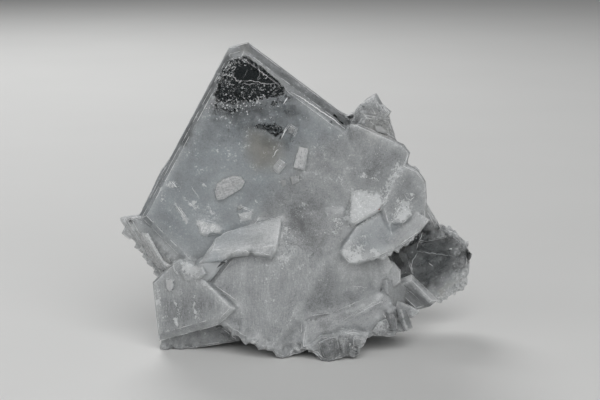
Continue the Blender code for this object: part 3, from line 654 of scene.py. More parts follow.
# What is painted with strokes along photo points: radius in mm, strength and points.
PAINTED_STROKES = {
    "clear": (
        (0.35, 0.6, (334, 115), (343, 124)),
        (0.5, 0.6, (347, 112), (353, 112), (352, 117), (348, 117)),
        (0.4, 0.42, (228, 130), (229, 131)),
        (0.3, 0.8, (331, 122)),
        (0.35, 0.7, (355, 194)),
        (0.5, 0.26, (406, 287), (420, 299)),
    ),
    "frost": (
        (0.35, 0.5, (174, 203), (181, 211), (187, 222)),
        (1.1, 0.4, (399, 164), (394, 178), (386, 190), (379, 197)),
        (0.8, 0.28, (186, 196), (196, 208), (201, 217)),
        (1.0, 0.3, (168, 182), (180, 186)),
        (0.5, 0.34, (161, 190), (163, 202)),
        (1.2, 0.3, (200, 214), (208, 210), (214, 216)),
        (0.3, 0.42, (174, 301), (178, 313)),
        (0.45, 0.66, (175, 319), (176, 325)),
        (0.3, 0.45, (194, 296), (194, 308), (196, 319)),
        (0.3, 0.55, (202, 182), (205, 186)),
        (0.5, 0.52, (364, 175), (365, 177)),
        (0.5, 0.45, (373, 178), (376, 180)),
        (0.7, 0.4, (294, 178), (300, 182)),
        (0.6, 0.38, (281, 181), (286, 184)),
        (0.5, 0.6, (364, 122), (366, 125)),
        (0.4, 0.5, (257, 298), (259, 301)),
        (0.35, 0.6, (211, 289)),
        (0.4, 0.5, (405, 195), (414, 195)),
    ),
    "tone": (
        (1.6, -0.2, (222, 54), (250, 46), (300, 86), (345, 118)),
        (1.0, 0.15, (180, 150), (150, 206)),
        (1.1, 0.25, (411, 279), (424, 290), (435, 300)),
        # Painted shade over the block's right bevel, which the key lamp lights.
        (0.7, -0.25, (207, 281), (222, 294), (236, 307)),
        (0.6, 0.2, (399, 283), (411, 277)),
        (0.5, 0.3, (346, 311), (362, 304)),
        (0.5, 0.3, (366, 307), (382, 294)),
        (0.4, 0.25, (354, 315), (374, 304)),
        (1.0, 0.15, (372, 262), (376, 285), (384, 300)),
        (0.9, 0.1, (332, 239), (316, 278), (296, 315)),
        (0.8, 0.1, (300, 305), (280, 340)),
        # Painted shadow: a dark line in the notch above the top edge of the lower front plate.
        (0.4, -0.4, (306, 318), (318, 315), (326, 314)),
        (1.4, 0.15, (205, 268), (220, 264), (240, 254), (262, 252)),
        (1.0, 0.12, (255, 252), (272, 320)),
        (0.8, 0.12, (245, 262), (238, 310)),
    ),
    "glass": (
        (1.1, 0.28, (228, 58), (206, 100)),
        (1.1, 0.2, (206, 100), (183, 142)),
        (1.6, 0.5, (440, 226), (452, 228), (462, 236), (470, 256), (468, 276)),
    ),
    "rust": (
        (0.25, 1.0, (379.7, 209.6)),
    ),
    "rough": (
        (4.0, 0.32, (360, 116), (374, 98), (388, 126)),
        (1.8, 0.9, (432, 222), (462, 245), (470, 262), (462, 285), (436, 303)),
        (1.2, 0.5, (342, 252), (360, 262), (378, 262)),
        (1.4, 0.3, (120, 222), (140, 250), (155, 272)),
        (1.6, 0.9, (235, 334), (250, 341), (265, 348), (290, 351), (330, 360), (350, 355)),
        (1.3, 0.9, (162, 348), (200, 347), (232, 344)),
        (1.2, 0.5, (300, 348), (340, 340)),
        (1.4, 0.8, (352, 340), (376, 334), (400, 332)),
        (0.9, 0.6, (216, 326), (240, 344)),
        (3.0, 0.35, (355, 200), (372, 205)),
        (1.6, 0.35, (392, 216), (406, 214)),
        (0.6, 0.5, (238, 254), (258, 252), (272, 256)),
        (2.4, 0.35, (352, 250)),
        (2.0, 0.35, (190, 266)),
        (1.2, 0.5, (202, 228), (216, 228)),
    ),
    "broken": (
        (1.6, 1.0, (221, 325), (235, 333), (250, 341), (265, 348), (280, 352), (292, 350), (303, 347)),
        (1.6, 1.0, (318, 350), (334, 360), (352, 354), (366, 344)),
        (1.6, 1.0, (366, 344), (384, 338), (402, 334)),
        (2.4, 0.8, (386, 316), (400, 320)),
        (0.8, 0.6, (162, 348), (200, 347), (232, 344)),
        (1.0, 0.8, (440, 222), (462, 240), (472, 260), (462, 288), (438, 303)),
        (0.8, 0.4, (424, 252), (412, 246)),
    ),
    "grainy": (
        (3.4, 0.55, (356, 120), (374, 100), (384, 128)),
        (1.2, 0.8, (165, 260), (172, 264)),
        (1.8, 0.8, (434, 222), (464, 246), (470, 262), (462, 285), (440, 300)),
        (2.2, 0.5, (204, 216), (212, 212)),
        (1.8, 0.6, (324, 346), (356, 344)),
        (1.2, 0.6, (170, 346), (232, 342)),
        (1.6, 0.6, (389, 320), (398, 316)),
        (1.6, 0.6, (284, 240), (290, 250)),
    ),
    "melted": (
        (2.5, 1.0, (330, 250), (305, 290), (280, 335)),
        (2.4, 1.0, (320, 322), (330, 314), (352, 302), (385, 288)),
    ),
}


def paint_cluster(piece):
    """Paints all layers of the cluster and stores them with its mesh."""
    paint = Paint(piece)
    # Pale rims along the sharp ridges: wear and a painted highlight.
    paint.lay("rim", ridges.near(paint.points, RIM_REACH_MM), 1.0)
    paint.lay("crease", creases.near(paint.points, CREASE_REACH_MM), 1.0)
    for layer, areas in PAINTED_AREAS.items():
        for strength, soft, *outline in areas:
            paint.area(layer, outline, strength, soft)
    for layer, strokes in PAINTED_STROKES.items():
        for radius, strength, *line in strokes:
            paint.stroke(layer, line, radius, strength)
    paint.lay("rim", paint.layer("melted"), -1.0)
    paint.lay("rim", paint.layer("plain"), -1.0)
    paint.growth_lines()
    paint.lay("softened", paint.layer("crease"), 1.0)
    # A painted glow: the milk is painted thicker, so paler, near the sharp edges.
    paint.lay("tone", ridges.near(paint.points, PAINTED_GLOW_REACH_MM), PAINTED_EDGE_GLOW)
    for layer in RELIEF_LAYERS:
        paint.group(layer)
    for layer in FINISH_LAYERS:
        store(piece.data, layer, paint.layer(layer))
    return paint


paint = paint_cluster(cluster)


# Relief.


# How far each round of melting moves a vertex, as a share of the way to its neighbours.
MELT_FACTOR = 0.5


def relief(piece, kind, grain_mm, depth_mm, group="", middle=0.5):
    """Raises and sinks the surface by a pattern with grains of that size."""
    pattern = bpy.data.textures.new("relief", kind)
    pattern.noise_scale = grain_mm * MM
    if kind == "VORONOI":
        pattern.distance_metric = "CHEBYCHEV"
    modify(
        piece, "DISPLACE", texture=pattern, texture_coords="LOCAL", strength=depth_mm * MM,
        mid_level=middle, vertex_group=group,
    )


def melt(piece, group, rounds):
    """Smooths the edges away in a vertex group."""
    modify(piece, "SMOOTH", factor=MELT_FACTOR, iterations=rounds, vertex_group=group)


def keep_in_box(piece):
    """Holds every vertex within the solid model's box."""
    lowest, highest = (np.array(corner) for corner in cad_box)
    points = np.clip(numbers(piece.data.vertices, "co", 3), lowest, highest)
    piece.data.vertices.foreach_set("co", points.astype(np.float32).ravel())
    piece.data.update()


melt(cluster, "melted relief", rounds=60)
melt(cluster, "molten relief", rounds=280)
melt(cluster, "softened relief", rounds=12)
relief(cluster, "CLOUDS", grain_mm=3.0, depth_mm=0.07)
relief(cluster, "CLOUDS", grain_mm=1.1, depth_mm=0.04)
relief(cluster, "VORONOI", grain_mm=2.4, depth_mm=2.4, group="broken relief", middle=0.34)
relief(cluster, "CLOUDS", grain_mm=0.9, depth_mm=1.0, group="rough relief", middle=0.60)
keep_in_box(cluster)
photo.look_at(cluster)


# Finishes.


class Signal:
    """A shader socket that can be worked with as a number."""

    def __init__(self, finish, socket):
        self.finish = finish
        self.socket = socket

    def _with(self, operation, first, second):
        return self.finish.node("ShaderNodeMath", {"operation": operation}, {0: first, 1: second})

    def __add__(self, other):
        return self._with("ADD", self, other)

    def __radd__(self, other):
        return self._with("ADD", other, self)

    def __sub__(self, other):
        return self._with("SUBTRACT", self, other)

    def __rsub__(self, other):
        return self._with("SUBTRACT", other, self)

    def __mul__(self, other):
        return self._with("MULTIPLY", self, other)

    def __rmul__(self, other):
        return self._with("MULTIPLY", other, self)

    def ramp(self, low, high):
        """0 below low, 1 above high and soft between. Low above high turns it round."""
        settings = {"interpolation_type": "SMOOTHSTEP", "clamp": True}
        sockets = {"Value": self, "From Min": low, "From Max": high}
        return self.finish.node("ShaderNodeMapRange", settings, sockets)


class Finish:
    """A procedural material and the calls that fill its node tree."""

    def __init__(self, name):
        self.material = bpy.data.materials.new(name)
        self.material.use_nodes = True
        self.tree = self.material.node_tree
        self.tree.nodes.clear()
        self.output = self.tree.nodes.new("ShaderNodeOutputMaterial")

    def node(self, kind, settings=None, sockets=None, output=0):
        """Adds a node, sets it up, fills or links its sockets and gives one output."""
        made = self.tree.nodes.new(kind)
        for name, value in (settings or {}).items():
            setattr(made, name, value)
        for name, value in (sockets or {}).items():
            if isinstance(value, Signal):
                self.tree.links.new(value.socket, made.inputs[name])
            else:
                made.inputs[name].default_value = value
        return Signal(self, made.outputs[output])

    def painted(self, name, output="Fac"):
        return self.node("ShaderNodeAttribute", {"attribute_name": name}, output=output)

    def places(self):
        return self.node("ShaderNodeTexCoord", output="Object")

    def clouds(self, places, scale, detail=3.0, rough=0.5):
        """Soft noise from 0 to 1, with about that many patches to one unit of length."""
        sockets = {"Vector": places, "Scale": scale, "Detail": detail, "Roughness": rough}
        return self.node("ShaderNodeTexNoise", None, sockets)

    def uneven(self, places, scale, detail, rough):
        """The same noise, centred on 0."""
        return self.clouds(places, scale, detail, rough) - 0.5

    def cells(self, places, scale):
        """How far a place is from the middle of its cell."""
        return self.node(
            "ShaderNodeTexVoronoi", {"feature": "F1"}, {"Vector": places, "Scale": scale}
        )

    def bump(self, height, strength, depth_mm):
        sockets = {"Strength": strength, "Distance": depth_mm * MM, "Height": height}
        return self.node("ShaderNodeBump", None, sockets)

    def mix(self, share, first, second):
        """Mixes two colours."""
        return self.node(
            "ShaderNodeMix", {"data_type": "RGBA"}, {0: share, 6: first, 7: second}, output=2
        )

    def close(self, surface, inside=None):
        self.tree.links.new(surface.socket, self.output.inputs["Surface"])
        if inside:
            self.tree.links.new(inside.socket, self.output.inputs["Volume"])
        return self.material


THIN_MILK = (0.19, 0.20, 0.206, 1)
MILK = (0.37, 0.384, 0.392, 1)
THICK_MILK = (0.56, 0.572, 0.577, 1)
FROST = (0.72, 0.735, 0.74, 1)
THIN_FROST = (0.60, 0.62, 0.635, 1)
CRUST = (0.56, 0.575, 0.58, 1)
POWDER = (0.90, 0.905, 0.91, 1)
BEIGE = (0.27, 0.245, 0.19, 1)
COOL = (0.265, 0.31, 0.34, 1)
RUST = (0.32, 0.10, 0.05, 1)
CLEAR = (0.96, 0.97, 0.97, 1)
DULL_GLOSS = (0.15, 0.15, 0.15, 1)
CLEAR_ROUGHNESS = 0.04
SMOKE = (0.30, 0.33, 0.34, 1)
SMOKE_PER_METRE = 900.0
BARITE_IOR = 1.64
SCATTER_SHARE = 0.8
SCATTER_COLOUR = (1.0, 0.98, 0.96)
SCATTER_MM = 8.0
FROST_SCATTER_MM = 0.2
MILK_ROUGHNESS = 0.34
FROST_ROUGHNESS = 0.35
BUMP_STRENGTH = 0.6
BUMP_MM = 0.2
FROST_BUMP_STRENGTH = 0.5
FROST_BUMP_MM = 0.1


def milky_body(finish, colour, roughness, normal, scatter_mm=SCATTER_MM):
    """Cloudy crystal that light soaks into."""
    return finish.node(
        "ShaderNodeBsdfPrincipled",
        {"subsurface_method": "RANDOM_WALK"},
        {
            "Base Color": colour,
            "Roughness": roughness,
            "IOR": BARITE_IOR,
            "Subsurface Weight": SCATTER_SHARE,
            "Subsurface Radius": SCATTER_COLOUR,
            "Subsurface Scale": scatter_mm * MM,
            "Normal": normal,
        },
    )


def clear_body(finish, normal):
    """Clear crystal."""
    return finish.node(
        "ShaderNodeBsdfPrincipled",
        None,
        {
            "Base Color": CLEAR,
            "Roughness": CLEAR_ROUGHNESS,
            "IOR": BARITE_IOR,
            "Specular Tint": DULL_GLOSS,
            "Transmission Weight": 1.0,
            "Normal": normal,
        },
    )


def barite():
    """Milky crystal that turns clear where it is painted so."""
    finish = Finish("milky_barite")
    clear = finish.painted("clear")
    glass = finish.painted("glass")
    frost = finish.painted("frost")
    rim = finish.painted("rim")
    tone = finish.painted("tone")
    grainy = finish.painted("grainy")
    lined = finish.painted("streaks")
    lines = finish.painted("lines", "Vector")
    places = finish.places()
    cloud = finish.uneven(places, 90, 3, 0.5)
    wisp = finish.uneven(places, 420, 4, 0.6)
    grain = finish.uneven(places, 1500, 3, 0.6)
    sugar = finish.uneven(places, 3200, 2, 0.5)
    sand = finish.uneven(places, 7000, 2, 0.6)
    wide_lines = finish.uneven(lines, 0.9, 2, 0.5)
    fine_lines = finish.uneven(lines, 5.0, 3, 0.6)

    # How thick the milk is. The painted tone in it also holds a painted glow near the edges
    # and a few strokes of painted shade.
    streaks = (wide_lines * 0.4 + fine_lines * 0.7) * lined
    even = 1.0 - lined * 0.75
    fine = grain * 0.6 + sugar + sand
    thickness = 0.5 + (cloud * 0.5 + wisp * 0.35) * even + fine + streaks + tone
    thickness = thickness + (grain + sugar) * grainy * 1.7 + grainy * 0.1

    # Pale rims, worn and a painted highlight, frost and specks, and then the milk with one coat
    # over another.
    worn_and_lit = (rim + grain * 1.4 + wisp).ramp(0.55, 1.1) * 0.4
    frosted = (frost + wisp * 1.6 + grain * 1.3 + sugar * 0.8).ramp(0.30, 0.56)
    dots = finish.cells(places, 1000).ramp(0.28, 0.14) * (cloud * 2.0 + wisp * 2.0).ramp(-0.2, 0.5)
    dusty = (wisp * 2.0 - cloud * 1.5 + frost).ramp(-0.1, 0.45)
    dust = finish.cells(places, 2300).ramp(0.34, 0.16) * dusty
    milk = finish.mix(thickness.ramp(-0.1, 0.55), THIN_MILK, MILK)
    coats = (
        (thickness.ramp(0.5, 1.25), THICK_MILK),
        (finish.painted("cool") * (0.8 + wisp), COOL),
        (finish.painted("tint") * (0.8 + wisp), BEIGE),
        (worn_and_lit, FROST),
        (dots * 0.25, FROST),
        (dust * 0.4, FROST),
        (frosted * (0.85 + wisp * 0.6 + grain * 0.8), CRUST),
        ((frost + streaks * 2.0 + grain * 1.5 + sugar).ramp(0.8, 1.6), POWDER),
        (finish.painted("rust").ramp(0.3, 0.7), RUST),
    )
    for share, colour in coats:
        milk = finish.mix(share, milk, colour)
    height = grain * (0.4 + grainy) + wisp * 0.6 + streaks * 0.8 + frosted * 0.5
    bump = finish.bump(height, BUMP_STRENGTH, BUMP_MM)
    roughness = MILK_ROUGHNESS + 0.25 * grain + 0.25 * frosted
    milky = milky_body(finish, milk, roughness, bump)

    # Where it is clear.
    window = (clear + grain * 0.8 + wisp * 1.2 + sugar * 0.4).ramp(0.32, 0.62)
    veil = 0.28 - (cloud * 0.5 + wisp * (0.3 + glass * 2.0)) * even - streaks * 0.5 - tone * 0.3
    see_through = (window + (1.0 - window) * (veil + glass - grainy * 0.15)).ramp(0.0, 1.0)
    see_through = see_through * (1.0 - frosted * 0.9) * (1.0 - worn_and_lit)
    bodies = {0: see_through, 1: milky, 2: clear_body(finish, bump)}
    surface = finish.node("ShaderNodeMixShader", None, bodies)
    smoke = {"Color": SMOKE, "Density": SMOKE_PER_METRE}
    return finish.close(surface, finish.node("ShaderNodeVolumeAbsorption", None, smoke))


def frosted_barite():
    """White frosted grains, flakes and veins."""
    finish = Finish("frosted_barite")
    places = finish.places()
    grain = finish.uneven(places, 1800, 3, 0.6)
    wisp = finish.uneven(places, 400, 3, 0.6)
    colour = finish.mix((0.5 + grain + wisp).ramp(0.0, 1.0), THIN_FROST, POWDER)
    bump = finish.bump(grain, FROST_BUMP_STRENGTH, FROST_BUMP_MM)
    roughness = FROST_ROUGHNESS + 0.3 * grain
    return finish.close(milky_body(finish, colour, roughness, bump, FROST_SCATTER_MM))


def finished(piece, material):
    """Gives a piece its finish and lets it move with the cluster."""
    keep_in_box(piece)
    piece.data.materials.clear()
    piece.data.materials.append(material)
    only(piece)
    bpy.ops.object.shade_smooth_by_angle(angle=SMOOTH_ANGLE)
    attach(piece, "root")


MILKY = barite()
FROSTED = frosted_barite()
finished(cluster, MILKY)
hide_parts(NODE)


# Plates and small crystals.


# A small crystal's foot lies this deep in what it stands on. Round its top runs a pale rim
# this wide, worn and a painted highlight, which also counts down its sides for this share of
# its thickness. A face is level with the top above this cosine.
FOOT_SUNK_MM = 0.4
TOP_RIM_MM = 0.2
TOP_RIM_SHARE = 0.6
LEVEL = 0.999


def paint_evenly(mesh, layers):
    """Paints a small piece with one value, or one for each vertex, in each layer."""
    for layer, value in layers.items():
        store(mesh, layer, np.full(len(mesh.vertices), value))


def drawn_up(name, foot, rise):
    """Draws a flat outline up into a plate, and leaves it open for editing, top selected."""
    mesh = bpy.data.meshes.new(name)
    mesh.from_pydata(foot, [], [tuple(range(len(foot)))])
    piece = linked(name, mesh)
    edit(piece)
    bpy.ops.mesh.select_mode(type="FACE")
    bpy.ops.mesh.extrude_region_move(TRANSFORM_OT_translate={"value": rise})
    return piece


def inset_top(piece, inset):
    """Insets the selected face, keeps it selected and makes all faces point outwards."""
    only(piece)
    bpy.ops.object.mode_set(mode="EDIT")
    bpy.ops.mesh.inset(thickness=inset * MM)
    done()
    chosen = numbers(piece.data.vertices, "select")
    edit(piece)
    bpy.ops.mesh.normals_make_consistent(inside=False)
    done()
    piece.data.vertices.foreach_set("select", chosen.astype(bool))


def tablet(name, outline, thick, bevel, taper, layers):
    """A small crystal with a flat top, standing on what a photo outline shows. Sizes in mm.

    Its growth lines run across the outline's first side.
    """
    x, y = (sum(place[axis] for place in outline) / len(outline) for axis in (0, 1))
    middle, out = photo.on(x, y)
    sink = FOOT_SUNK_MM * MM
    rise = out * (thick * MM + sink)
    foot = [photo.on_plane(x, y, middle, out) - out * sink for x, y in outline]
    piece = drawn_up(name, foot, rise)
    mesh = piece.data
    top = middle - out * sink + rise
    bpy.ops.transform.resize(value=(taper,) * 3, center_override=top)
    bpy.ops.mesh.bevel(offset=bevel * MM, segments=2, affect="EDGES")
    bpy.ops.mesh.select_all(action="DESELECT")
    done()
    tops = [face for face in mesh.polygons if abs(face.normal.dot(out)) > LEVEL]
    max(tops, key=lambda face: face.center.dot(out)).select = True
    inset_top(piece, TOP_RIM_MM)
    inner = numbers(mesh.vertices, "select") > 0
    points = numbers(mesh.vertices, "co", 3)
    heights = points @ np.array(out)
    side = (foot[1] - foot[0]).normalized()
    ways = (side, out.cross(side) * LINE_STRETCH, out)
    store(mesh, "lines", np.stack([points @ np.array(way) / MM for way in ways], axis=1))
    low = heights < heights.max() - TOP_RIM_SHARE * thick * MM
    # The rim round the top is painted pale: wear and a painted highlight.
    paint_evenly(mesh, {**layers, "rim": np.where(inner | low, 0.0, 1.0)})
    finished(piece, MILKY)


def bridging_plate(name, outline, level, sunk, deep, bevel, crystal, layers):
    """A plate whose photo outline lies just under the plane of three places. Sizes in mm."""
    first, second, third = (photo.on(x, y)[0] for x, y in level)
    out = (second - first).cross(third - first).normalized()
    out = out if out.y < 0 else -out
    first = first - out * sunk * MM
    foot = [photo.on_plane(x, y, first, out) - out * deep * MM for x, y in outline]
    piece = drawn_up(name, foot, out * deep * MM)
    bpy.ops.mesh.select_all(action="SELECT")
    bpy.ops.mesh.normals_make_consistent(inside=False)
    bpy.ops.mesh.bevel(offset=bevel * MM, segments=3, affect="EDGES")
    done()
    points = numbers(piece.data.vertices, "co", 3)
    store(piece.data, "lines", CRYSTALS[crystal].lines(points))
    paint_evenly(piece.data, layers)
    finished(piece, MILKY)


# The small crystals on the large ones and at their feet: thickness and bevel in mm, how
# much of its size the top keeps, what is painted on them, and their outline.
TABLETS = {
    "perched_bar": (0.2, 0.08, 0.97, dict(tone=0.5, frost=1.3, glass=-0.15, grainy=0.3, streaks=1.0),
        (299.2, 146.6), (308.4, 148.6), (304.6, 170.4), (293.2, 167.8)),
    "perched_lozenge": (0.2, 0.1, 0.92, dict(glass=-0.1, tone=0.3, frost=0.6, grainy=1.0, streaks=1.0),
        (279.6, 159), (286.2, 163.6), (279, 174.4), (272.6, 168.4)),
    "perched_bean": (0.1, 0.08, 0.97, dict(tone=0.4, frost=1.1, glass=-0.2, grainy=0.4, streaks=1.0),
        (217, 200.5), (214.5, 192), (217, 184), (224, 179), (233, 175.8), (241, 176.5), (245, 182),
        (242, 188.5), (232, 194.5), (223.5, 199.5)),
    "ridge_band": (0.12, 0.1, 0.97, dict(tone=0.6, frost=1.1, tint=0.2, glass=-0.1, grainy=1.0,
        streaks=1.0),
        (140, 233), (147, 234), (152, 243), (158, 254), (163, 262), (171, 267), (166, 271), (158, 268),
        (151, 259), (145, 249), (141, 241)),
    "perched_dot": (0.5, 0.2, 0.7, dict(frost=0.6),
        (237, 207), (239, 205), (242, 205.5), (243, 208), (241, 210), (238, 210)),
    "perched_ring": (0.2, 0.1, 0.92, dict(tone=0.1, frost=0.1, glass=0.1, grainy=1.0),
        (288, 129), (290, 127), (293.5, 127.5), (294.5, 131), (292, 134), (288.6, 133)),
    "perched_pair_left": (0.12, 0.08, 0.92, dict(tone=0.5, frost=0.8, glass=-0.3, grainy=1.0,
        streaks=1.0),
        (281, 180), (286, 179), (287, 185), (282, 187)),
    "perched_pair_right": (0.12, 0.08, 0.92, dict(tone=0.5, frost=0.9, glass=-0.3, grainy=1.0,
        streaks=1.0),
        (290, 177), (299, 175), (300, 182), (292, 185)),
    "block_chip": (0.15, 0.08, 0.92, dict(frost=1.6, tone=0.6, glass=-0.3),
        (166, 280), (172, 279), (173.5, 288), (169, 291.5), (166.5, 288)),
    "warm_block": (0.6, 0.15, 0.85, dict(tint=0.25, frost=0.34, tone=0.8),
        (374, 125), (380, 125.5), (387, 130), (385.5, 134), (375, 131.5)),
    "peak_chip": (0.5, 0.12, 0.8, dict(frost=0.46),
        (364, 119), (367, 124.5), (363, 127), (361, 122)),
    "foot_prism": (0.8, 0.15, 0.9, dict(glass=0.15),
        (398, 309), (403, 308), (407, 318), (411, 329), (405, 331), (401, 321)),
    "foot_facet": (0.5, 0.12, 0.94, dict(glass=0.25, grainy=0.4),
        (384, 311), (390, 308), (397, 320), (398, 330), (390, 331), (385, 321)),
    "foot_shard": (0.6, 0.12, 0.92, dict(glass=0.1, frost=0.28, grainy=0.5),
        (371, 331), (378, 321), (386, 318), (390, 326), (387, 334), (377, 335)),
    "toe_left": (0.4, 0.12, 0.95, dict(glass=0.22, tone=-0.05, grainy=0.6),
        (318, 342), (328, 337), (336, 336), (337, 353), (329, 359), (323, 357)),
    "toe_right": (0.15, 0.1, 0.92, dict(glass=0.2, tone=0.0, grainy=0.6),
        (341, 341), (352, 340), (362, 343), (356, 351), (343, 354)),
}

# The plates over small steps: how far under three places they lie, their thickness and
# bevel in mm, the crystal whose growth lines they have, what is painted on them, the three
# places and the outline.
BRIDGING_PLATES = {
    "shelf_foot": (0.05, 5.0, 0.9, "shelf", dict(cool=0.3, tone=0.75),
        ((214, 254), (205, 281), (238, 256)),
        (196, 266), (203, 261), (214, 260), (226, 258), (230, 258), (225, 264), (220, 270),
        (215, 277), (209, 284), (202, 284), (198, 274)),
    "fan_corner": (0.2, 3.0, 0.1, "fan", dict(tone=0.08, streaks=0.8),
        ((238, 300), (276, 322), (262, 262)),
        (236, 250), (222, 258), (208, 268), (202, 280), (212, 294), (230, 312), (238, 318),
        (252, 300), (254, 262)),
    "hollow_step": (0.3, 3.0, 0.15, "framed", dict(glass=0.05, tone=0.2, streaks=1.0),
        ((408, 290), (398, 306), (395, 285)),
        (387, 280), (398, 280), (403, 284), (409, 291), (405, 303), (398, 308), (389, 302)),
}


# Flakes and grains.


# A flake's corners, width and thickness in mm before its two cuts, and for each cut a point
# in mm and the side that is taken off.
FLAKE_CORNERS = 6
FLAKE_WIDE_MM = 1.0
FLAKE_THICK_MM = 0.3
FLAKE_CUTS = (((0.28, 0.1, 0), (1, 0.4, 0.5)), ((-0.3, 0.05, 0.05), (-1, 0.3, 0.7)))
# How flakes vary: their length from a least share of their size to that much more, their
# width as a share of their length, how far they lean, and how deep they sink.
LENGTH_LEAST = 0.35
LENGTH_MORE = 1.4
WIDTH_LEAST = 0.35
WIDTH_MOST = 0.9
FLAKE_LEAN = 0.5
FLAKE_SINK = 0.1


def angular_flake():
    """One thin angular flake, a millimetre across."""
    bpy.ops.object.select_all(action="DESELECT")
    bpy.ops.mesh.primitive_cylinder_add(
        vertices=FLAKE_CORNERS, radius=FLAKE_WIDE_MM / 2 * MM, depth=FLAKE_THICK_MM * MM
    )
    flake = bpy.context.object
    edit(flake)
    for point, away in FLAKE_CUTS:
        bpy.ops.mesh.select_all(action="SELECT")
        at = [number * MM for number in point]
        bpy.ops.mesh.bisect(plane_co=at, plane_no=away, use_fill=True, clear_outer=True)
    done()
    return flake


def scattered(name, shape, matrices):
    """One piece of many copies of a small shape, each with its own place, turn and size."""
    base = numbers(shape.data.vertices, "co", 3)
    sides = [tuple(face.vertices) for face in shape.data.polygons]
    points, faces = [], []
    for number, matrix in enumerate(matrices):
        turn = np.array(matrix.to_3x3())
        points.append(base @ turn.T + np.array(matrix.translation))
        faces += [tuple(index + number * len(base) for index in side) for side in sides]
    mesh = bpy.data.meshes.new(name)
    mesh.from_pydata(np.concatenate(points).tolist(), [], faces)
    mesh.update()
    bpy.data.objects.remove(shape)
    return linked(name, mesh)


def facing(normal, spin):
    """A turn that lays a shape's top along the surface's outward direction."""
    return normal.to_track_quat("Z", "Y").to_matrix().to_4x4() @ Matrix.Rotation(spin, 4, "Z")


def spots_in(outline, count, chance):
    """Random photo points inside an outline of photo points."""
    lows = [min(place[axis] for place in outline) for axis in (0, 1)]
    highs = [max(place[axis] for place in outline) for axis in (0, 1)]
    found = []
    while len(found) < count:
        x, y = (chance.uniform(low, high) for low, high in zip(lows, highs))
        if in_outline(x, y, outline):
            found.append((x, y))
    return found


def scatter(name, patches, material, chance):
    """Scatters flakes on patches of the cluster."""
    matrices = []
    for count, size, flat, *outline in patches:
        for x, y in spots_in(outline, count, chance):
            place, normal = photo.on(x, y)
            length = size * (LENGTH_LEAST + LENGTH_MORE * chance.random() ** 2)
            width = length * chance.uniform(WIDTH_LEAST, WIDTH_MOST)
            lean = Vector([chance.uniform(-FLAKE_LEAN, FLAKE_LEAN) for _ in range(3)]) + normal
            turn = facing(lean.normalized(), chance.uniform(0, math.tau))
            stretch = Matrix.Diagonal((length, width, length * flat, 1))
            place = place - normal * length * FLAKE_SINK * MM
            matrices.append(Matrix.Translation(place) @ turn @ stretch)
    finished(scattered(name, angular_flake(), matrices), material)


# Patches of flakes: count, size in mm, flatness and outline of photo points. These lie in the
# clear top of the large plate, round the second window and in a few bright spots; they are
# flakes and also painted glints, pale specks where the crystal sparkles.
WINDOW_FLAKES_AND_GLINTS = (
    (130, 0.34, 0.4, (229, 58), (244, 57), (250, 62), (246, 66), (236, 66), (222, 74)),
    (130, 0.26, 0.4, (222, 74), (236, 66), (235, 78), (240, 84), (214, 92)),
    (60, 0.38, 0.4, (215, 88), (242, 83), (266, 84), (270, 95), (256, 104), (216, 105)),
    (420, 0.18, 0.4, (210, 90), (242, 83), (270, 84), (280, 92), (256, 104), (208, 108)),
    (70, 0.46, 0.4, (222, 98), (248, 101), (264, 97), (258, 105), (232, 109), (214, 107)),
    (14, 0.7, 0.4, (254, 98), (266, 95), (268, 100), (258, 104)),
    (40, 0.34, 0.4, (204, 98), (216, 96), (222, 108), (206, 114)),
    (24, 0.3, 0.4, (252, 62), (274, 80), (266, 82), (258, 70)),
    (40, 0.28, 0.4, (268, 85), (277, 84), (286, 92), (274, 98)),
    (110, 0.4, 0.4, (208, 107), (258, 104), (282, 98), (288, 106), (252, 114), (208, 122)),
    (24, 0.24, 0.4, (220, 118), (250, 116), (256, 128), (226, 134)),
    (90, 0.17, 0.4, (250, 124), (264, 122), (284, 126), (281, 138), (262, 131)),
    (18, 0.22, 0.4, (284, 106), (304, 114), (312, 124), (290, 118)),
    (60, 0.2, 0.4, (206, 212), (216, 208), (222, 222), (204, 222)),
    (26, 0.24, 0.4, (168, 181), (182, 181), (182, 191), (170, 191)),
    (12, 0.26, 0.4, (234, 154), (247, 154), (247, 159), (234, 159)),
    (12, 0.22, 0.4, (320, 161), (336, 160), (336, 168), (322, 167)),
    # Painted glints: pale flakes for the glints on small sparkling facets and below the slab.
    (16, 0.32, 0.5, (378, 143), (385, 144), (383, 151), (378, 150)),
    (18, 0.26, 0.5, (373, 151), (380, 150), (379, 159), (373, 158)),
    (26, 0.34, 0.5, (399, 246), (401, 242), (416, 238), (414, 243)),
)

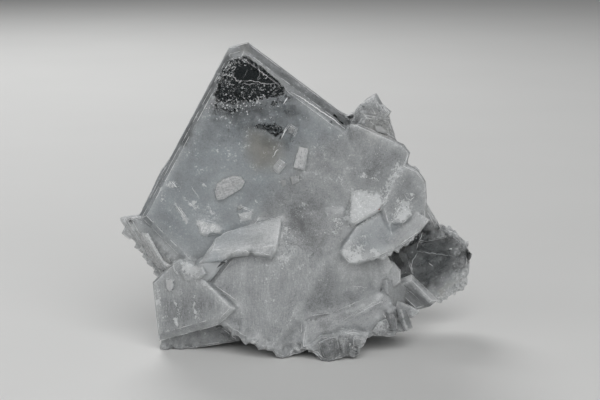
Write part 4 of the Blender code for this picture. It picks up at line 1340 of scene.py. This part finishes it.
# Small flat grains on the frosted patches and along their edges, and a few painted glints.
FROST_CRUST_AND_GLINTS = (
    (170, 0.42, 0.25, (353, 191), (379, 191), (382, 202), (381, 210), (364, 224), (345, 222)),
    (110, 0.28, 0.3, (379, 190), (396, 170), (402, 166), (404, 184), (392, 198), (383, 204)),
    (90, 0.36, 0.3, (397, 198), (406, 199), (414, 214), (403, 223), (391, 220)),
    (60, 0.34, 0.35, (332, 226), (336, 215), (344, 215), (342, 228), (335, 238)),
    (80, 0.36, 0.25, (340, 251), (359, 233), (364, 233), (368, 248), (359, 264), (346, 262)),
    (24, 0.36, 0.35, (369, 250), (374, 247), (381, 257), (376, 262)),
    (80, 0.42, 0.35, (183, 261), (201, 259), (202, 268), (194, 276), (184, 274)),
    (110, 0.45, 0.5, (196, 221), (207, 222), (222, 229), (206, 235)),
    (44, 0.34, 0.5, (238, 214), (252, 211), (249, 219), (240, 221)),
    (60, 0.4, 0.35, (140, 234), (153, 243), (170, 267), (158, 270), (146, 252)),
    (30, 0.34, 0.4, (281, 226), (292, 228), (288, 236), (282, 234)),
    (20, 0.32, 0.4, (281, 246), (284, 238), (289, 243), (287, 248)),
    (50, 0.28, 0.4, (277, 254), (290, 254), (291, 271), (279, 271)),
    (30, 0.4, 0.4, (340, 329), (354, 329), (353, 335), (341, 335)),
    (36, 0.4, 0.4, (374, 330), (380, 321), (386, 320), (388, 330)),
    # Painted glints: pale grains for the sparkles in the dark gap below the slab.
    (26, 0.42, 0.6, (400, 245), (402, 242), (417, 234), (418, 238)),
)

# Granular crystal on the peak, the ridge and the worn rims.
SUGAR_GRAINS = (
    (240, 0.5, 0.4, (375, 97), (384, 108), (390, 122), (392, 132), (370, 124), (353, 121), (360, 105)),
    (40, 0.45, 0.5, (440, 224), (452, 230), (466, 242), (471, 258), (466, 254), (456, 240)),
    (40, 0.45, 0.5, (471, 258), (469, 274), (461, 288), (446, 298), (448, 292), (462, 270)),
    (50, 0.34, 0.5, (120, 224), (134, 222), (142, 238), (150, 258), (146, 262), (134, 246)),
    (30, 0.4, 0.6, (164, 258), (173, 258), (173, 267), (166, 267)),
    (90, 0.5, 0.5, (322, 341), (350, 338), (360, 343), (350, 352), (330, 356), (320, 350)),
    (50, 0.5, 0.5, (386, 312), (400, 312), (402, 326), (388, 328)),
    (90, 0.36, 0.5, (165, 344), (232, 338), (234, 343), (166, 349)),
    (40, 1.0, 0.5, (216, 326), (240, 342), (262, 349), (261, 352), (238, 346), (214, 330)),
    (40, 1.1, 0.5, (262, 350), (290, 352), (304, 346), (318, 352), (336, 360), (330, 362), (300, 352)),
    (40, 1.1, 0.5, (350, 352), (366, 340), (384, 338), (402, 332), (404, 336), (370, 346), (352, 358)),
    (16, 1.2, 0.5, (398, 316), (412, 312), (408, 322), (402, 332), (396, 326)),
)


# Veins, and worn edges that are also painted highlights.


# Veins: the step between photo points, how thin the ends are and over what share of the
# length they thin, how the width varies, and the gap at which a vein breaks off.
VEIN_STEP = 1.6
END_WIDTH = 0.25
END_SHARE = 0.25
VEIN_WIDTHS = (0.6, 1.2)
JUMP_MM = 1.5
# The very tips of veins and of the worn, highlit edges are thinner by this, and a run has at
# least so many places.
TIP = 0.4
SHORTEST_RUN = 3
# Worn edges, pale lines that are wear and a painted highlight along the sharp edges: how much
# wear and highlight there is, its two patterns as share and size in mm, where it starts to
# show, and how far from the sharp edge the surface may be.
WEAR_AND_SHINE = 0.5
WEAR_AND_SHINE_PATTERNS = ((1.3, 2.5), (0.8, 0.7))
WEAR_AND_SHINE_SHOWS = 0.25
WORN_LIT_WITHIN_MM = 0.5
WORN_LIT_WIDTH_MM = 0.13


def traced(places, chance, jitter):
    """Photo points along a line at even steps, each a little off it."""
    points = []
    for (ax, ay), (bx, by) in zip(places, places[1:]):
        count = max(1, round(math.hypot(bx - ax, by - ay) / VEIN_STEP))
        for number in range(count):
            share = number / count
            points.append((ax + (bx - ax) * share, ay + (by - ay) * share))
    points.append(places[-1])
    return [(x + chance.gauss(0, jitter), y + chance.gauss(0, jitter)) for x, y in points]


def pale_lines(name, runs, rounding):
    """One piece of pale lines. A run is places with radii in mm. Very short ones are left out."""
    data = bpy.data.curves.new(name, "CURVE")
    data.dimensions = "3D"
    data.bevel_depth = MM
    data.bevel_resolution = rounding
    data.use_fill_caps = True
    for run in runs:
        if len(run) < SHORTEST_RUN:
            continue
        line = data.splines.new("POLY")
        line.points.add(len(run) - 1)
        for point, (place, radius) in zip(line.points, run):
            point.co = (*place, 1)
            point.radius = radius
        line.points[0].radius *= TIP
        line.points[-1].radius *= TIP
    only(linked(name, data))
    bpy.ops.object.convert(target="MESH")
    finished(bpy.context.object, FROSTED)


def veins(name, lines, chance, lift=0.0):
    """Thin white lines on the surface, or that far above it in mm."""
    runs = []
    for width, jitter, *places in lines:
        spots = []
        for x, y in traced(places, chance, jitter):
            place, normal = photo.on(x, y)
            spots.append(place + normal * lift * MM)
        run = []
        for number, spot in enumerate(spots):
            share = number / (len(spots) - 1)
            inward = min(1.0, share / END_SHARE, (1 - share) / END_SHARE)
            taper = END_WIDTH + (1 - END_WIDTH) * inward
            if run and (spot - run[-1][0]).length > JUMP_MM * MM:
                runs.append(run)
                run = []
            run.append((spot, width / 2 * taper * chance.uniform(*VEIN_WIDTHS)))
        runs.append(run)
    pale_lines(name, runs, 1)


def worn_and_highlit_edges(name, width):
    """Thin pale lines along the crystals' sharp edges, wear and a painted highlight, broken
    where the wear and highlight stop.
    """
    quiet = paint.layer("plain") + paint.layer("melted")
    sides = cluster.data.polygons
    runs = []
    for points in ridge_lines:
        run = []
        for point in points:
            place, _, index, _ = photo.tree.find_nearest(point)
            worn_lit = WEAR_AND_SHINE
            for share, size in WEAR_AND_SHINE_PATTERNS:
                worn_lit += share * noise.noise(point / (size * MM))
            worn_lit -= quiet[sides[index].vertices[0]]
            if worn_lit > WEAR_AND_SHINE_SHOWS and (place - point).length < WORN_LIT_WITHIN_MM * MM:
                run.append((place, width / 2 * min(1.0, worn_lit)))
                continue
            runs.append(run)
            run = []
        runs.append(run)
    pale_lines(name, runs, 0)


# Veins on the crystals: width in mm, jitter and photo points.
WHITE_VEINS = (
    (0.15, 0.7, (221, 75), (233, 75), (240, 82)),
    (0.1, 0.4, (240, 82), (249, 80.5), (258, 82), (266, 84), (280, 83)),
    (0.08, 0.4, (242, 83), (250, 84.5), (257, 83)),
    (0.12, 0.8, (234, 66), (234, 76)),
    (0.07, 0.4, (259, 68), (260, 75), (257, 81)),
    (0.04, 0.2, (248, 69), (243, 79)),
    (0.34, 0.1, (286, 129), (281, 139)),
    (0.3, 0.2, (288, 97), (283, 104)),
    (0.26, 0.2, (291, 92), (300, 97), (318, 109), (333, 119), (345, 129)),
    (0.16, 0.2, (423, 232), (419, 242), (416, 250)),
    (0.1, 0.4, (416, 251), (428, 253), (440, 254), (452, 256)),
    (0.16, 0.2, (418, 252), (413, 260), (411, 268), (413, 276)),
    (0.2, 0.6, (429, 263), (433, 266)),
    (0.1, 0.4, (191, 186), (200, 199)),
    (0.08, 0.5, (182, 196), (198, 212)),
    (0.3, 0.8, (172, 182), (176, 188)),
    (0.18, 0.3, (278.7, 149.5), (276, 151), (272.6, 158)),
    (0.12, 0.3, (405, 195), (407, 199), (411, 200), (415, 196)),
    (0.12, 0.3, (424, 208), (431, 218), (436, 228)),
    (0.12, 0.4, (429, 212), (437, 222), (442, 232)),
    (0.3, 0.3, (398.6, 299.5), (407, 304), (415.7, 310)),
    (0.06, 0.2, (404, 286), (420, 300)),
    (0.2, 0.4, (384, 314), (388, 321)),
    (0.05, 0.5, (341, 322), (358, 311), (384, 297)),
    (0.07, 0.3, (336, 311), (350, 305), (364, 299)),
    (0.09, 0.3, (354, 316), (372, 306), (386, 300)),
    (0.09, 0.6, (352, 287), (358, 286), (366, 288)),
    (0.08, 0.3, (309, 317), (320, 314), (333, 313)),
    (0.1, 0.4, (318, 279), (322, 281)),
    (0.12, 0.2, (216, 286), (226, 293), (236, 300)),
    (0.16, 0.3, (217, 324), (230, 334), (242, 344)),
    (0.14, 0.5, (228, 254), (238, 250), (250, 252), (262, 253), (276, 257)),
    (0.22, 0.2, (363, 337), (366, 344), (368, 348)),
    (0.14, 0.2, (366, 118), (380, 129), (396, 139), (408, 150)),
    (0.14, 0.2, (408, 150), (406, 160), (403, 166), (416, 172), (424, 182)),
)

# Lines on top of the small lozenge, and how far they lie above the large plate.
LOZENGE_LINES = (
    (0.2, 0.2, (273.4, 168.6), (275.6, 171), (278.4, 173.6)),
    (0.14, 0.1, (280.6, 160.2), (283, 162), (285.2, 163.8)),
    (0.14, 0.1, (275, 165.6), (278, 168.6), (280.6, 171)),
    (0.14, 0.1, (277, 163), (280, 165.6), (282.6, 168)),
    (0.14, 0.1, (276.4, 171), (279, 167.4), (282, 162.6)),
    (0.14, 0.1, (279.4, 172.4), (281.4, 169.4), (284.4, 165)),
)
LOZENGE_LIFT_MM = 0.22


for name, (sunk, deep, bevel, crystal, layers, level, *outline) in BRIDGING_PLATES.items():
    bridging_plate(name, outline, level, sunk, deep, bevel, crystal, layers)
scatter("window_flakes_and_glints", WINDOW_FLAKES_AND_GLINTS, FROSTED, random.Random(5))
scatter("frost_crust_and_glints", FROST_CRUST_AND_GLINTS, FROSTED, random.Random(6))
scatter("sugar_grains", SUGAR_GRAINS, MILKY, random.Random(7))
vein_chance = random.Random(8)
veins("white_veins", WHITE_VEINS, vein_chance)
veins("lozenge_lines", LOZENGE_LINES, vein_chance, LOZENGE_LIFT_MM)
# Pale lines along the ridges: wear and a painted highlight.
worn_and_highlit_edges("worn_and_highlit_edges", WORN_LIT_WIDTH_MM)
for name, (thick, bevel, taper, layers, *outline) in TABLETS.items():
    tablet(name, outline, thick, bevel, taper, layers)


# Floor, light and camera.


FLOOR_SIZE = 6.0
FLOOR_PATCHES = 14
FLOOR_ROUGHNESS = 0.7
FLOOR_PALE = (0.70, 0.70, 0.69, 1)
FLOOR_SHADE = (0.66, 0.66, 0.65, 1)
STUDIO = (0.80, 0.81, 0.82, 1)
STUDIO_STRENGTH = 0.16
# The lamps: place, aim, size and power.
LAMPS = {
    "key": ((0.18, -0.62, 0.58), (0, 0, 0.03), 0.9, 5.3),
    "fill": ((-0.6, -0.5, 0.30), (0, 0, 0.03), 0.8, 1.3),
    "back": ((-0.2, 0.6, 0.5), (0, 0, 0.04), 0.4, 2.6),
}


def aimed(name, data, at, aim):
    """A lamp or camera at that place, turned to its aim."""
    made = linked(name, data)
    made.location = at
    made.rotation_euler = (Vector(aim) - Vector(at)).to_track_quat("-Z", "Y").to_euler()
    return made


def pale_floor():
    bpy.ops.object.select_all(action="DESELECT")
    bpy.ops.mesh.primitive_plane_add(size=FLOOR_SIZE, location=(0, 0, 0))
    floor = bpy.context.object
    floor.name = "pale_floor"
    finish = Finish("pale_floor")
    patches = finish.clouds(finish.places(), FLOOR_PATCHES)
    shade = finish.mix(patches, FLOOR_SHADE, FLOOR_PALE)
    sockets = {"Base Color": shade, "Roughness": FLOOR_ROUGHNESS}
    floor.data.materials.append(
        finish.close(finish.node("ShaderNodeBsdfPrincipled", None, sockets))
    )


def studio_light():
    for name, (at, aim, size, power) in LAMPS.items():
        data = bpy.data.lights.new(name, "AREA")
        data.shape = "DISK"
        data.size = size
        data.energy = power
        aimed(name, data, at, aim)
    world = bpy.data.worlds.new("studio")
    world.use_nodes = True
    background = world.node_tree.nodes["Background"]
    background.inputs["Color"].default_value = STUDIO
    background.inputs["Strength"].default_value = STUDIO_STRENGTH
    bpy.context.scene.world = world
    bpy.context.scene.view_settings.view_transform = "Standard"


def photo_camera():
    data = bpy.data.cameras.new("photo_camera")
    data.lens = LENS
    data.sensor_width = SENSOR
    data.clip_start = 0.01
    data.clip_end = 20.0
    bpy.context.scene.camera = aimed("photo_camera", data, CAMERA_AT, CAMERA_AIM)


pale_floor()
studio_light()
photo_camera()
